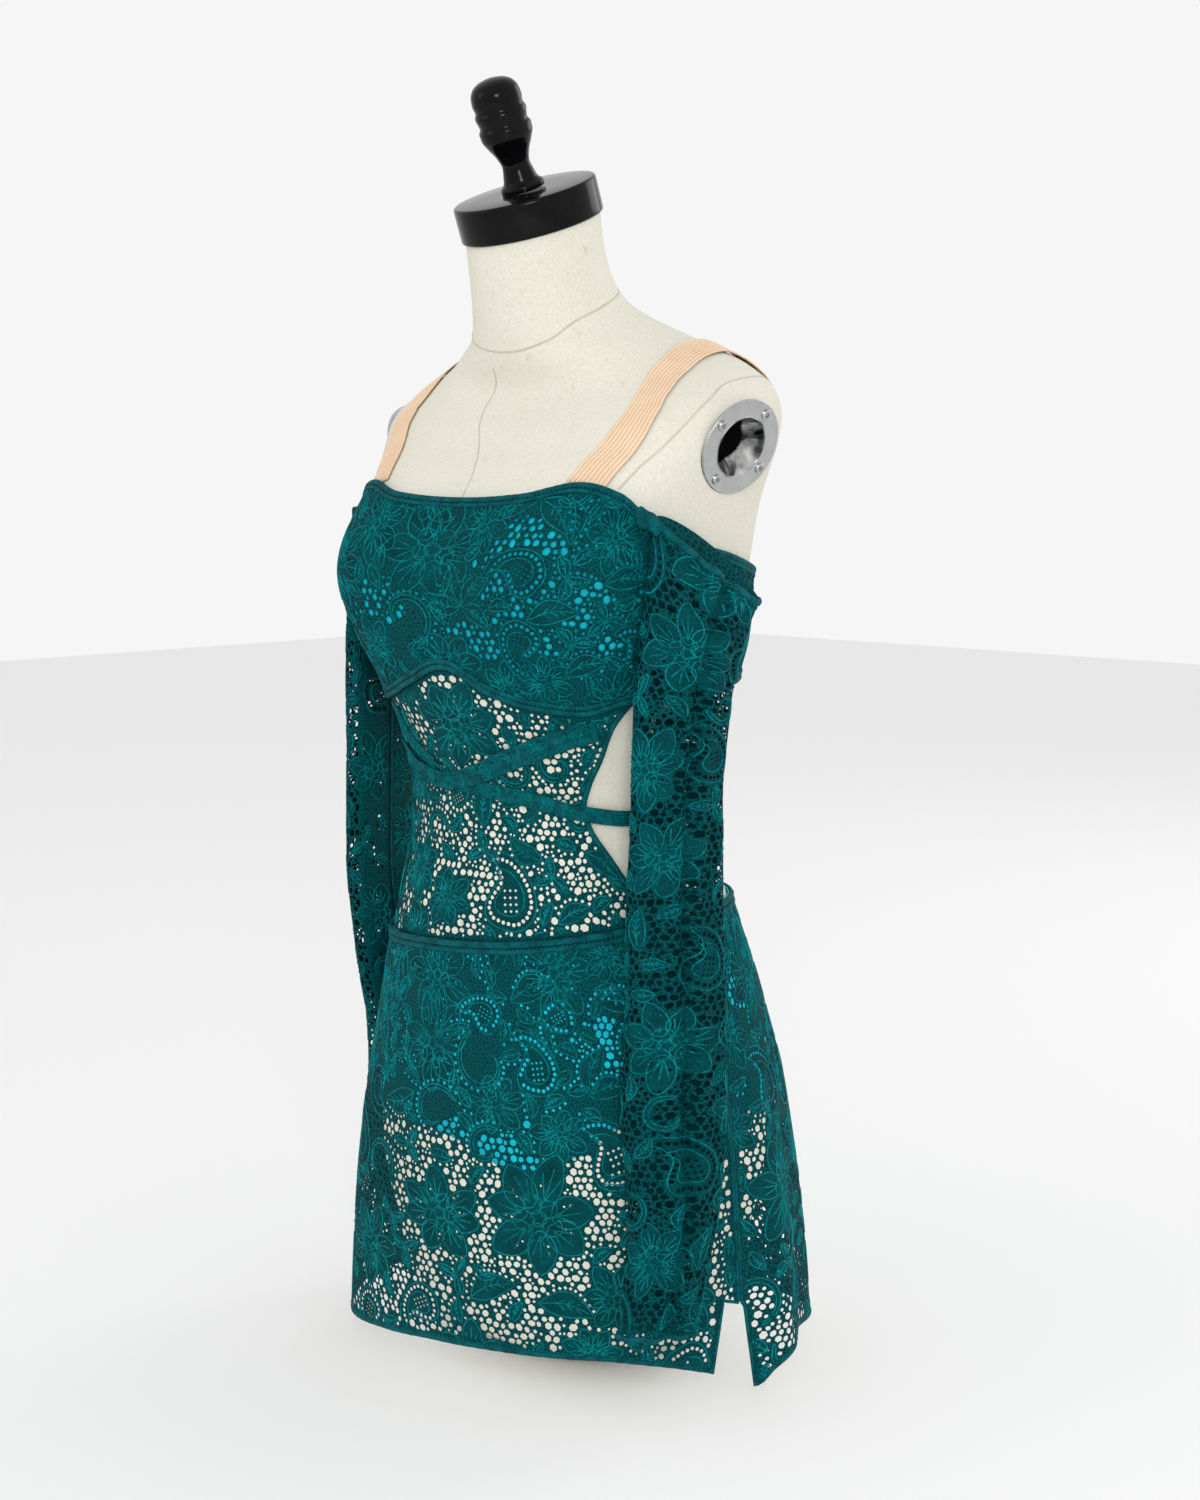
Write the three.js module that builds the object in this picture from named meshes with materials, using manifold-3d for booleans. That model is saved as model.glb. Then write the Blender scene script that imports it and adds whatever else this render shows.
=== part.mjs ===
// A lyrical dance costume of lined and sheer lace, worn by a limbless dress form.
// Millimetres, +Z up. The costume's front faces -Y, and its left side is +X.
// The origin is on the surface that the form stands on, below the middle of the whole.
import * as THREE from "three";
import { mergeVertices } from "three/addons/utils/BufferGeometryUtils.js";
import Module from "manifold-3d";

const wasm = await Module();
wasm.setup();

// Driving sizes

const axisY = -25; // the form's axis, so that the whole is centred on the origin
const seamGap = 0.3; // between two pieces that a seam joins
const liningCloth = 1.0;
const laceCloth = 1.0;
const elasticCloth = 1.2;
const skinGap = 1.5; // the form's skin to the first layer of cloth
const layerGap = 0.4; // one layer of cloth to the next
const casingRise = 0.9; // how far an elastic casing stands proud of its panel
const casingDepth = 9;
const casingSlope = 0.11; // the share of its depth in which a casing rises

const liningIn = skinGap;
const liningOut = liningIn + liningCloth;
const laceIn = liningOut + layerGap;
const laceOut = laceIn + laceCloth;
const bandEase = 0.8; // how loosely a wrap band lies on the midriff
const crossingEase = 1.1; // and on the other band
const overPanel = liningOut + layerGap + bandEase;
const overBand = overPanel + laceCloth + layerGap + crossingEase;
const sides = { left: 1, right: -1 };

// Small helpers for tables, curves and points

const rad = THREE.MathUtils.degToRad;
const lerp = THREE.MathUtils.lerp;
const clamp = THREE.MathUtils.clamp;

// A table's rows as objects with named columns.
function table(columns, rows) {
  return rows.map((row) => Object.fromEntries(columns.map((c, k) => [c, row[k]])));
}

// A smooth curve through one column of a table, against another, with no overshoot.
function through(rows, along, column) {
  const x = rows.map((r) => r[along]);
  const y = rows.map((r) => r[column]);
  const slope = x.slice(1).map((_, k) => (y[k + 1] - y[k]) / (x[k + 1] - x[k]));
  const tangent = y.map((_, k) => {
    if (k === 0) return slope[0];
    if (k === y.length - 1) return slope[k - 1];
    const [before, after] = [slope[k - 1], slope[k]];
    return before * after <= 0 ? 0 : (2 * before * after) / (before + after);
  });
  return (at) => {
    if (at <= x[0]) return y[0];
    if (at >= x[x.length - 1]) return y[y.length - 1];
    const k = x.findIndex((v) => v > at) - 1;
    const span = x[k + 1] - x[k];
    const t = (at - x[k]) / span;
    const [t2, t3] = [t * t, t * t * t];
    return (
      (2 * t3 - 3 * t2 + 1) * y[k] +
      (t3 - 2 * t2 + t) * span * tangent[k] +
      (3 * t2 - 2 * t3) * y[k + 1] +
      (t3 - t2) * span * tangent[k + 1]
    );
  };
}

const bell = (distance, width) => Math.exp(-((distance / width) ** 2));

// A turn round the body in degrees: 0 is the centre front, 90 its left side, -90 its right.
function wrap(turn) {
  return ((((turn + 180) % 360) + 360) % 360) - 180;
}

// The form's skin

const formSections = table(
  ["z", "halfWidth", "front", "back", "centreY", "tilt", "squareness"],
  [
    [0, 54, 38, 72, 0, 0, 2.1],
    [8, 78, 52, 88, 0, 0, 2.1],
    [18, 100, 70, 98, 0, 0, 2.1],
    [30, 124, 90, 112, 0, 0, 2.1],
    [52, 140, 102, 126, 0, 0, 2.1],
    [85, 151, 110, 136, 0, 0, 2.1],
    [172, 168, 122, 156, 0, 0, 2.1],
    [232, 167, 120, 157, 0, 0, 2.1],
    [292, 161, 117, 146, 0, 0, 2.1],
    [342, 152, 113, 127, 0, 0, 2.1],
    [387, 140, 107, 110, 0, 0, 2.1],
    [424, 131, 99, 93, 0, 0, 2.1],
    [462, 131, 98, 93, 0, 0, 2.1],
    [502, 138, 106, 99, 0, 0, 2.15],
    [542, 147, 118, 107, 0, 0, 2.2],
    [582, 152, 123, 114, 0, 0, 2.3],
    [627, 153, 121, 120, 0, 0, 2.4],
    [662, 156, 117, 121, 1, 0, 2.5],
    [690, 161, 110, 117, 4, 0, 2.6],
    [712, 169, 101, 107, 9, 0, 2.75],
    [734, 178, 90, 95, 15, 2, 2.9],
    [752, 182, 83, 89, 18, 4, 2.9],
    [768, 177, 77, 84, 20, 8, 2.8],
    [781, 161, 71, 78, 19, 12, 2.6],
    [792, 139, 66, 72, 15, 16, 2.4],
    [803, 113, 62, 66, 7, 19, 2.2],
    [815, 89, 59, 60, -4, 21, 2.1],
    [827, 70, 57, 57.5, -12, 22, 2.0],
    [841, 60.5, 55.5, 55, -18, 21.5, 2.0],
    [857, 56, 54.5, 53.5, -22.5, 21, 2.0],
    [877, 54, 53.5, 53, -27, 20.5, 2.0],
    [899.5, 53.5, 53.5, 53.5, -30.4, 20, 2.0],
  ],
);
const formAt = Object.fromEntries(
  Object.keys(formSections[0]).map((column) => [column, through(formSections, "z", column)]),
);
const formTop = formSections[formSections.length - 1];
const bust = { turn: 37, z: 632, rise: 29, turnWidth: 28, below: 60, above: 62 };

// The form's skin at a turn and a height.
function skin(turn, z) {
  const [s, c] = [Math.sin(rad(turn)), Math.cos(rad(turn))];
  const power = 2 / formAt.squareness(z);
  const across = formAt.halfWidth(z) * Math.sign(s) * Math.abs(s) ** power;
  const depth = c > 0 ? formAt.front(z) : formAt.back(z);
  const side = Math.abs(wrap(turn)) - bust.turn;
  const spread = z < bust.z ? bust.below : bust.above;
  const mound = bust.rise * bell(side, bust.turnWidth) * bell(z - bust.z, spread);
  const ahead = depth * Math.sign(c) * Math.abs(c) ** power + mound * c;
  const tilt = rad(formAt.tilt(z));
  return new THREE.Vector3(
    across + mound * s,
    axisY + formAt.centreY(z) - ahead * Math.cos(tilt),
    z - ahead * Math.sin(tilt),
  );
}

// A point moved off a surface, along the surface's own normal.
function lifted(surface, turn, z, by) {
  const round = surface(turn + 1, z).sub(surface(turn - 1, z));
  const up = surface(turn, z + 1.5).sub(surface(turn, z - 1.5));
  return surface(turn, z).addScaledVector(round.cross(up).normalize(), by);
}

// A place off the form's skin, where cloth hugs it.
const onForm = (turn, z, by) => lifted(skin, turn, z, by);

// Solids from points

function solidMesh(name, points, triangles, material) {
  const geometry = new THREE.BufferGeometry();
  const places = points.flatMap((p) => p.toArray());
  geometry.setAttribute("position", new THREE.Float32BufferAttribute(places, 3));
  geometry.setIndex(triangles.flat());
  geometry.computeVertexNormals();
  const mesh = new THREE.Mesh(geometry, material);
  mesh.name = name;
  return mesh;
}

// A wall of cloth. pointAt(u, v, side) gives its inner (side 0) and outer (side 1) points for
// u and v from 0 to 1, and holeAt(i, j) says which cells of the grid hold a gap in the lace.
function clothWall(name, cells, pointAt, material, { holeAt = () => null, vSteps } = {}) {
  const [nu, nv] = cells;
  const columns = nu + 1;
  const heights = vSteps ?? Array.from({ length: nv + 1 }, (_, j) => j / nv);
  const points = [];
  const triangles = [];
  const corner = (i, j, side) => (side * (nv + 1) + j) * columns + i;
  for (const side of [0, 1]) {
    for (let j = 0; j <= nv; j++) {
      for (let i = 0; i < columns; i++) points.push(pointAt(i / nu, heights[j], side));
    }
  }
  const face = (a, b, c, side) => triangles.push(side ? [a, b, c] : [c, b, a]);
  const quad = (a, b, c, d, side) => {
    face(a, b, c, side);
    face(a, c, d, side);
  };
  for (let j = 0; j < nv; j++) {
    for (let i = 0; i < nu; i++) {
      const hole = holeAt(i, j);
      const rims = [];
      for (const side of [0, 1]) {
        const around = [[i, j], [i + 1, j], [i + 1, j + 1], [i, j + 1]];
        const c = around.map(([column, row]) => corner(column, row, side));
        if (!hole) {
          quad(...c, side);
          continue;
        }
        // Four rim points, each nearest one corner of its cell.
        const rim = hole.map(([du, dv]) => {
          const low = points[c[0]].clone().lerp(points[c[1]], du);
          const high = points[c[3]].clone().lerp(points[c[2]], du);
          return points.push(low.lerp(high, dv)) - 1;
        });
        for (let k = 0; k < 4; k++) quad(c[k], c[(k + 1) % 4], rim[(k + 1) % 4], rim[k], side);
        rims.push(rim);
      }
      if (hole) {
        const [inner, outer] = rims;
        for (let k = 0; k < 4; k++) {
          const next = (k + 1) % 4;
          quad(inner[k], outer[k], outer[next], inner[next], 1);
        }
      }
    }
  }
  for (let i = 0; i < nu; i++) {
    quad(corner(i, 0, 0), corner(i + 1, 0, 0), corner(i + 1, 0, 1), corner(i, 0, 1), 1);
    quad(corner(i, nv, 1), corner(i + 1, nv, 1), corner(i + 1, nv, 0), corner(i, nv, 0), 1);
  }
  for (let j = 0; j < nv; j++) {
    quad(corner(0, j, 0), corner(0, j, 1), corner(0, j + 1, 1), corner(0, j + 1, 0), 1);
    quad(corner(nu, j, 1), corner(nu, j, 0), corner(nu, j + 1, 0), corner(nu, j + 1, 1), 1);
  }
  return solidMesh(name, points, triangles, material);
}

// A closed solid through rings of points, with a fan over its first and its last ring.
function loft(name, rings, material) {
  const n = rings[0].length;
  const points = rings.flat();
  const triangles = [];
  for (let j = 0; j < rings.length - 1; j++) {
    for (let i = 0; i < n; i++) {
      const [a, b] = [j * n + i, j * n + ((i + 1) % n)];
      triangles.push([a, b, b + n], [a, b + n, a + n]);
    }
  }
  for (const [start, turned] of [[0, true], [points.length - n, false]]) {
    const middle = new THREE.Vector3();
    for (let i = 0; i < n; i++) middle.addScaledVector(points[start + i], 1 / n);
    const centre = points.push(middle) - 1;
    for (let i = 0; i < n; i++) {
      const [a, b] = [start + i, start + ((i + 1) % n)];
      triangles.push(turned ? [b, a, centre] : [a, b, centre]);
    }
  }
  return solidMesh(name, points, triangles, material);
}

// The mesh's world shape as a solid that can be joined or cut.
function toSolid(mesh) {
  mesh.updateMatrixWorld(true);
  const bare = (mesh.geometry.index ? mesh.geometry.toNonIndexed() : mesh.geometry.clone())
    .applyMatrix4(mesh.matrixWorld);
  bare.deleteAttribute("normal");
  bare.deleteAttribute("uv");
  const merged = mergeVertices(bare, 1e-4);
  return new wasm.Manifold(
    new wasm.Mesh({
      numProp: 3,
      vertProperties: merged.attributes.position.array,
      triVerts: new Uint32Array(merged.index.array),
    }),
  );
}

function fromSolid(name, solid, material) {
  const made = solid.getMesh();
  const geometry = new THREE.BufferGeometry();
  geometry.setAttribute("position", new THREE.BufferAttribute(new Float32Array(made.vertProperties), 3));
  geometry.setIndex([...made.triVerts]);
  geometry.computeVertexNormals();
  const mesh = new THREE.Mesh(geometry, material);
  mesh.name = name;
  return mesh;
}

// Finishes

const finish = (color, roughness, metalness = 0) =>
  new THREE.MeshStandardMaterial({ color, roughness, metalness });
const finishes = {
  lace: finish("#0a6f70", 0.8),
  lining: finish("#0790a6", 0.55),
  elastic: finish("#edc39b", 0.75),
  formCover: finish("#e9e6d8", 0.85),
  capLacquer: finish("#0d0d0f", 0.15),
  plateMetal: finish("#b4b7b9", 0.3, 1),
};

const costume = new THREE.Group();

// The form: body, neck cap, turned finial and two arm plates

const formTurns = 28;
const formStep = 40; // between two rings of the form, at most about this
const plate = {
  z: 731,
  turn: 89.5,
  drop: 21, // degrees that it faces down
  ahead: 0.06, // and how far it faces forwards, as a share
  radius: 37.3,
  thick: 3,
  edge: 0.8,
  seat: 2.2, // how deep it sits in the form
  cupMouth: 24,
  cupFloor: 16,
  cupDepth: 16,
  cupWall: 2,
};
const well = { room: 2, floorRoom: 4, extra: 8, lap: 0.5 }; // the hollow round an arm plate's cup
const plateSides = 24;
const seatHeight = 40; // the cutter for a plate's seat reaches clear of the shoulder

// An arm plate's place: on the side of the shoulder, facing outwards and a little down.
function platePlace(side) {
  const drop = rad(plate.drop);
  const normal = new THREE.Vector3(side * Math.cos(drop), -plate.ahead, -Math.sin(drop)).normalize();
  const onSkin = skin(side * plate.turn, plate.z);
  const turned = new THREE.Quaternion().setFromUnitVectors(new THREE.Vector3(0, 0, 1), normal);
  return { normal, onSkin, turned };
}

function placeOnShoulder(mesh, side, along) {
  const { normal, onSkin, turned } = platePlace(side);
  mesh.quaternion.copy(turned);
  mesh.position.copy(onSkin).addScaledVector(normal, along);
  return mesh;
}

function ringAt(z) {
  return Array.from({ length: formTurns }, (_, i) => skin((i * 360) / formTurns, z));
}

function formBody() {
  const heights = formSections.map((row) => row.z);
  const dense = heights.flatMap((z, k) => {
    const next = heights[k + 1];
    if (next === undefined) return [z];
    const parts = Math.max(Math.round((next - z) / formStep), 1);
    return Array.from({ length: parts }, (_, i) => lerp(z, next, i / parts));
  });
  let body = toSolid(loft("blank", dense.map(ringAt), finishes.formCover));
  for (const side of [-1, 1]) {
    const seatWidth = plate.radius + seamGap;
    const seat = new THREE.CylinderGeometry(seatWidth, seatWidth, seatHeight, plateSides);
    seat.rotateX(Math.PI / 2);
    body = body.subtract(toSolid(placeOnShoulder(new THREE.Mesh(seat), side, seatHeight / 2 - plate.seat)));
    const deep = plate.cupDepth + well.extra;
    const [mouth, floor] = [plate.cupMouth + well.room, plate.cupFloor + well.floorRoom];
    const hollow = new THREE.CylinderGeometry(mouth, floor, deep, plateSides);
    hollow.rotateX(Math.PI / 2);
    const along = well.lap - plate.seat - deep / 2;
    body = body.subtract(toSolid(placeOnShoulder(new THREE.Mesh(hollow), side, along)));
  }
  return fromSolid("form_body", body, finishes.formCover);
}
costume.add(formBody());

// The cap sits on the neck's sloping top, and the finial on the cap.
const cap = { radius: 56.5, thick: 28, bevel: 2.5, underBevel: 1 };
const neckSlope = rad(formTop.tilt);
const neckUp = new THREE.Vector3(0, -Math.sin(neckSlope), Math.cos(neckSlope));
const neckTop = new THREE.Vector3(0, axisY + formTop.centreY, formTop.z);

function turnedPiece(name, profile, segments, along, material, lean = 0) {
  const geometry = new THREE.LatheGeometry(profile.map(([r, h]) => new THREE.Vector2(r, h)), segments);
  const mesh = new THREE.Mesh(geometry, material);
  mesh.name = name;
  mesh.rotation.x = Math.PI / 2 + neckSlope + rad(lean);
  mesh.position.copy(neckTop).addScaledVector(neckUp, along);
  return mesh;
}

costume.add(
  turnedPiece(
    "form_neck_cap",
    [
      [0, 0],
      [cap.radius - cap.underBevel, 0],
      [cap.radius, cap.underBevel],
      [cap.radius, cap.thick - cap.bevel],
      [cap.radius - cap.bevel, cap.thick],
      [0, cap.thick],
    ],
    36,
    seamGap,
    finishes.capLacquer,
  ),
);

const finialLean = 3.5; // degrees more than the cap leans
const finialSeat = 1.1;
const finialProfile = table(
  ["radius", "height"],
  [
    [0, 0], [17, 0], [17.2, 3.5], [13.8, 7], [12.2, 13], [11, 20], [13.2, 28], [17.6, 36.5],
    [20.4, 43.5], [20.6, 48.5], [18.8, 52], [19.4, 55.5], [20.3, 60], [18.8, 64.5], [19.6, 69.5],
    [19, 75.5], [15.8, 81.5], [9, 85.5], [0, 87],
  ],
);
costume.add(
  turnedPiece(
    "form_finial",
    finialProfile.map((row) => [row.radius, row.height]),
    14,
    cap.thick + 2 * seamGap + finialSeat,
    finishes.capLacquer,
    finialLean,
  ),
);

// An arm plate is a ring with a cup in its middle, held by four screws.
const screws = { radius: 4.2, topRadius: 3.6, rise: 2, sunk: 0.7, circle: 30, count: 4, first: 45, sides: 8 };
function armPlate(word, side) {
  const { radius, thick, edge, cupMouth, cupFloor, cupDepth, cupWall } = plate;
  const profile = [
    [0, -cupDepth],
    [cupFloor, -cupDepth],
    [cupMouth, 0],
    [radius, 0],
    [radius, thick - edge],
    [radius - edge, thick],
    [cupMouth, thick],
    [cupFloor - cupWall, cupWall - cupDepth],
    [0, cupWall - cupDepth],
    [0, -cupDepth],
  ];
  const ring = new THREE.LatheGeometry(profile.map(([r, h]) => new THREE.Vector2(r, h)), plateSides);
  ring.rotateX(Math.PI / 2);
  const back = 2 * seamGap - plate.seat; // how far the plate's back is from the skin
  let whole = toSolid(placeOnShoulder(new THREE.Mesh(ring), side, back));
  for (let k = 0; k < screws.count; k++) {
    const around = rad(screws.first + (360 / screws.count) * k);
    const head = new THREE.CylinderGeometry(screws.topRadius, screws.radius, screws.rise, screws.sides);
    head.rotateX(Math.PI / 2);
    head.translate(screws.circle * Math.cos(around), screws.circle * Math.sin(around), 0);
    const along = back + thick - screws.sunk + screws.rise / 2;
    whole = whole.add(toSolid(placeOnShoulder(new THREE.Mesh(head), side, along)));
  }
  costume.add(fromSolid(`form_arm_plate_${word}`, whole, finishes.plateMetal));
}
Object.entries(sides).forEach(([word, side]) => armPlate(word, side));

// The costume's edges, as heights at each turn

const byTurn = (rows) => {
  const named = table(["turn", "z"], rows);
  const curve = through(named, "turn", "z");
  return (turn) => curve(wrap(turn));
};
const bodiceTop = byTurn([
  [-180, 630], [-150, 632], [-120, 640], [-90, 656], [-62, 680], [-50, 696], [-35, 703], [-18, 694],
  [0, 691], [18, 694], [35, 703], [50, 696], [62, 680], [90, 656], [120, 640], [150, 632], [180, 630],
]);
const bodiceFoot = byTurn([
  [-180, 556], [-120, 552], [-90, 547], [-62, 542], [-45, 533], [-30, 538], [-14, 551], [0, 564],
  [14, 548], [28, 538], [45, 534], [62, 543], [90, 547], [120, 552], [180, 556],
]);
const hipSeam = byTurn([
  [-180, 378], [-130, 368], [-90, 352], [-50, 341], [-12, 347], [20, 355], [46, 364], [70, 372],
  [126, 380], [180, 378],
]);
const briefFoot = byTurn([
  [-180, 186], [-150, 196], [-112, 215], [-60, 222], [-34, 203], [0, 197], [14, 185], [25, 170], [36, 190],
  [56, 222], [112, 215], [150, 196], [180, 186],
]);
const skirtHem = byTurn([
  [-180, 14], [-130, 16], [-92, 22], [-60, 18], [-45, 18], [-20, 26], [0, 35], [22, 41], [45, 43],
  [65, 37], [80, 28], [88, 18], [93.6, 10], [98, 22], [104, 31], [112, 35], [120, 31], [130, 26],
  [148, 20], [180, 14],
]);

// A panel's columns run from one turn to another, and its rows from its foot to its top.
// Its cloth eases off the form between its edges.
// Where rows are given, it stands proud in the outermost ones, over an elastic casing.
function panelPoint({ from, to, foot, top, inner, outer, casedRows, ease, base = onForm }) {
  return (u, v, side) => {
    const turn = lerp(from(v), to(v), u);
    const z = lerp(foot(turn), top(turn), v);
    const cased = casedRows && (v > casedRows[casedRows.length - 3] || v < casedRows[2]);
    const rise = side && cased ? casingRise : 0;
    return base(turn, z, (side ? outer : inner) + rise + ease * Math.sin(Math.PI * v));
  };
}

// Rows for a panel, as shares of its height, with close ones where a casing runs along an edge.
function panelRows(count, height, cased) {
  const step = casingDepth / height;
  const [starts, ends] = [step * casingSlope, step * (1 - casingSlope)];
  const lows = cased ? [0, starts, ends, step] : [0];
  const highs = lows.map((share) => 1 - share).reverse();
  const [start, end] = [lows[lows.length - 1], highs[0]];
  const middle = Array.from({ length: count - 1 }, (_, k) => lerp(start, end, (k + 1) / count));
  return [...lows, ...middle, ...highs];
}

const seamTurn = 0.06; // degrees from a side seam to the panel's edge
const sideSeam = 90;
const frontSpan = { from: () => seamTurn - sideSeam, to: () => sideSeam - seamTurn };
const backSpan = { from: () => sideSeam + seamTurn, to: () => 360 - sideSeam - seamTurn };

// Which cells of a panel's grid hold a gap in the lace: the ones in its net fields. A field is an
// oval, with its middle and its half sizes as shares of the panel.
const netSkew = 0.25;
const fieldColumns = ["u", "v", "wide", "tall"];
function netFields(rows, cells, size) {
  const [nu, nv] = cells;
  const fields = table(fieldColumns, rows);
  return (i, j) => {
    const [u, v] = [(i + 0.5) / nu, (j + 0.5) / nv];
    const inField = fields.some((f) => ((u - f.u) / f.wide) ** 2 + ((v - f.v) / f.tall) ** 2 < 1);
    if (!inField) return null;
    const [wide, tall] = size;
    const turn = netSkew * ((i + j) % 2 ? 1 : -1);
    return [[-1, -1], [1, -1], [1, 1], [-1, 1]].map(([x, y]) => [
      0.5 + wide * (x - turn * y),
      0.5 + tall * (y + turn * x),
    ]);
  };
}

// The bodice: a turquoise lining under a layer of lace, in front and round the back

const bodiceHeight = 140;
const bodiceEase = 2.2;
const bodiceSides = [
  { word: "front", span: frontSpan, columns: 20, rows: panelRows(4, bodiceHeight, true), cased: true },
  { word: "back", span: backSpan, columns: 14, rows: panelRows(5, bodiceHeight, false), cased: false },
];
const bodiceLayers = [
  { layer: "lining", inner: liningIn, outer: liningOut, material: finishes.lining },
  { layer: "lace", inner: laceIn, outer: laceOut, material: finishes.lace },
];
for (const { word, span, columns, rows, cased } of bodiceSides) {
  for (const { layer, inner, outer, material } of bodiceLayers) {
    const point = panelPoint({
      ...span,
      foot: bodiceFoot,
      top: bodiceTop,
      inner,
      outer,
      casedRows: cased && layer === "lace" ? rows : undefined,
      ease: bodiceEase,
    });
    const cells = [columns, rows.length - 1];
    costume.add(clothWall(`bodice_${layer}_${word}`, cells, point, material, { vSteps: rows }));
  }
}

// The midriff panel, between the two side cutouts

const cutout = through(
  table(
    ["z", "turn"],
    [
      [340, 75], [372, 66], [388, 62], [412, 56], [444, 48], [462, 46], [482, 48], [502, 52], [526, 56],
      [548, 64],
    ],
  ),
  "z",
  "turn",
);
const midriffHeights = [352, 545];
const midriffCells = [14, 12];
const midriffEase = 0.5;
const midriffInset = 0.8; // clear of the bodice's foot and of the skirt's top
const midriffFields = [
  [0.3, 0.42, 0.14, 0.16],
  [0.68, 0.35, 0.16, 0.13],
  [0.5, 0.68, 0.15, 0.1],
  [0.8, 0.75, 0.1, 0.12],
];
const midriffHole = [0.2, 0.19];
costume.add(
  clothWall(
    "midriff_panel",
    midriffCells,
    panelPoint({
      from: (v) => -cutout(lerp(...midriffHeights, v)),
      to: (v) => cutout(lerp(...midriffHeights, v)),
      foot: (turn) => hipSeam(turn) + midriffInset,
      top: (turn) => bodiceFoot(turn) - midriffInset,
      inner: liningIn,
      outer: liningOut,
      ease: midriffEase,
    }),
    finishes.lace,
    { holeAt: netFields(midriffFields, midriffCells, midriffHole) },
  ),
);

// The brief, a lining under the skirt's lace

const briefCells = [20, 5];
const briefEase = 0.4;
for (const [word, span] of [["front", frontSpan], ["back", backSpan]]) {
  const point = panelPoint({
    ...span,
    foot: briefFoot,
    top: hipSeam,
    inner: liningIn,
    outer: liningOut,
    ease: briefEase,
  });
  costume.add(clothWall(`brief_${word}`, briefCells, point, finishes.lining));
}

// The skirt: a front and a back panel of lace that flare and fold from the hips down

const hipHeight = 180; // below this the skirt hangs free
const flareByTurn = through(
  table(
    ["turn", "out"],
    [
      [-180, 28], [-135, 33], [-90, 20], [-60, 23], [-45, 24], [-20, 15], [0, 12], [45, 12], [75, 17],
      [90, 22], [104, 34], [135, 31], [180, 28],
    ],
  ),
  "turn",
  "out",
);
const flareByHeight = through(
  table(["z", "share"], [[0, 1.05], [25, 1], [107, 0.76], [144, 0.62], [209, 0.32], [269, 0.06], [300, 0]]),
  "z",
  "share",
);
const skirtFolds = table(
  ["turn", "width", "depth"],
  [
    [-160, 10, 5], [-138, 10, -4], [-116, 10, 6], [-96, 8, -5], [-74, 10, 4], [64, 10, -3], [102, 7, 7],
    [118, 9, -5], [140, 11, 5], [164, 12, -4],
  ],
);

function skirtPoint(turn, z, by) {
  const at = wrap(turn);
  const body = lifted(skin, turn, Math.max(z, hipHeight), by);
  const folded = skirtFolds.reduce((sum, f) => sum + f.depth * bell(at - f.turn, f.width), 0);
  const out = (flareByTurn(at) + folded) * flareByHeight(z);
  return new THREE.Vector3(body.x + out * Math.sin(rad(turn)), body.y - out * Math.cos(rad(turn)), z);
}

// A vent opens each side seam towards the hem: its height, and how many degrees from the seam each
// panel's edge is at the vent's top and at its foot.
const vent = { top: 81, front: 5, back: 0.8, frontFoot: 10.5, backFoot: 3.6 };
const farVent = { top: 60, front: 0.6, back: 0.6, frontFoot: 4, backFoot: 4 };
function ventEdge(z, shape, part) {
  if (z >= shape.top) return seamTurn;
  return lerp(shape[part], shape[`${part}Foot`], (shape.top - z) / shape.top);
}

const skirtCells = [20, 13];
const skirtRows = [0, 0.025, 0.07, 0.13, 0.16, 0.167, 0.24, 0.35, 0.46, 0.57, 0.68, 0.8, 0.91, 1];
const skirtHeights = [20, 366];
const skirtEase = 2.4;
const skirtHole = [0.13, 0.1];
const skirtZ = (v) => lerp(...skirtHeights, v);
const skirtSides = {
  front: {
    fields: [[0.3, 0.3, 0.1, 0.17], [0.56, 0.4, 0.1, 0.14], [0.78, 0.28, 0.1, 0.16]],
    from: (v) => ventEdge(skirtZ(v), farVent, "front") - sideSeam,
    to: (v) => sideSeam - ventEdge(skirtZ(v), vent, "front"),
  },
  back: {
    fields: [[0.2, 0.34, 0.08, 0.2], [0.5, 0.28, 0.1, 0.16], [0.76, 0.4, 0.1, 0.14]],
    from: (v) => sideSeam + ventEdge(skirtZ(v), vent, "back"),
    to: (v) => 360 - sideSeam - ventEdge(skirtZ(v), farVent, "back"),
  },
};
for (const [word, { fields, from, to }] of Object.entries(skirtSides)) {
  const point = panelPoint({
    from,
    to,
    foot: skirtHem,
    top: hipSeam,
    inner: laceIn,
    outer: laceOut,
    ease: skirtEase,
    base: skirtPoint,
  });
  const holeAt = netFields(fields, skirtCells, skirtHole);
  costume.add(
    clothWall(`skirt_${word}`, skirtCells, point, finishes.lace, { vSteps: skirtRows, holeAt }),
  );
}

// Bands that lie on the form: a path of turns and heights, and a width

// A place on the skin, a distance from another in a direction.
function slide(turn, z, direction, distance) {
  const target = skin(turn, z).addScaledVector(direction, distance);
  let [t, h] = [turn, z];
  for (let k = 0; k < 8; k++) {
    const here = skin(t, h);
    const round = skin(t + 0.5, h).sub(here).multiplyScalar(2);
    const up = skin(t, h + 0.5).sub(here).multiplyScalar(2);
    const miss = target.clone().sub(here);
    const [rr, ru, uu] = [round.dot(round), round.dot(up), up.dot(up)];
    const [mr, mu] = [miss.dot(round), miss.dot(up)];
    const scale = rr * uu - ru * ru;
    t += (mr * uu - mu * ru) / scale;
    h += (mu * rr - mr * ru) / scale;
  }
  return [t, h];
}

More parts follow.
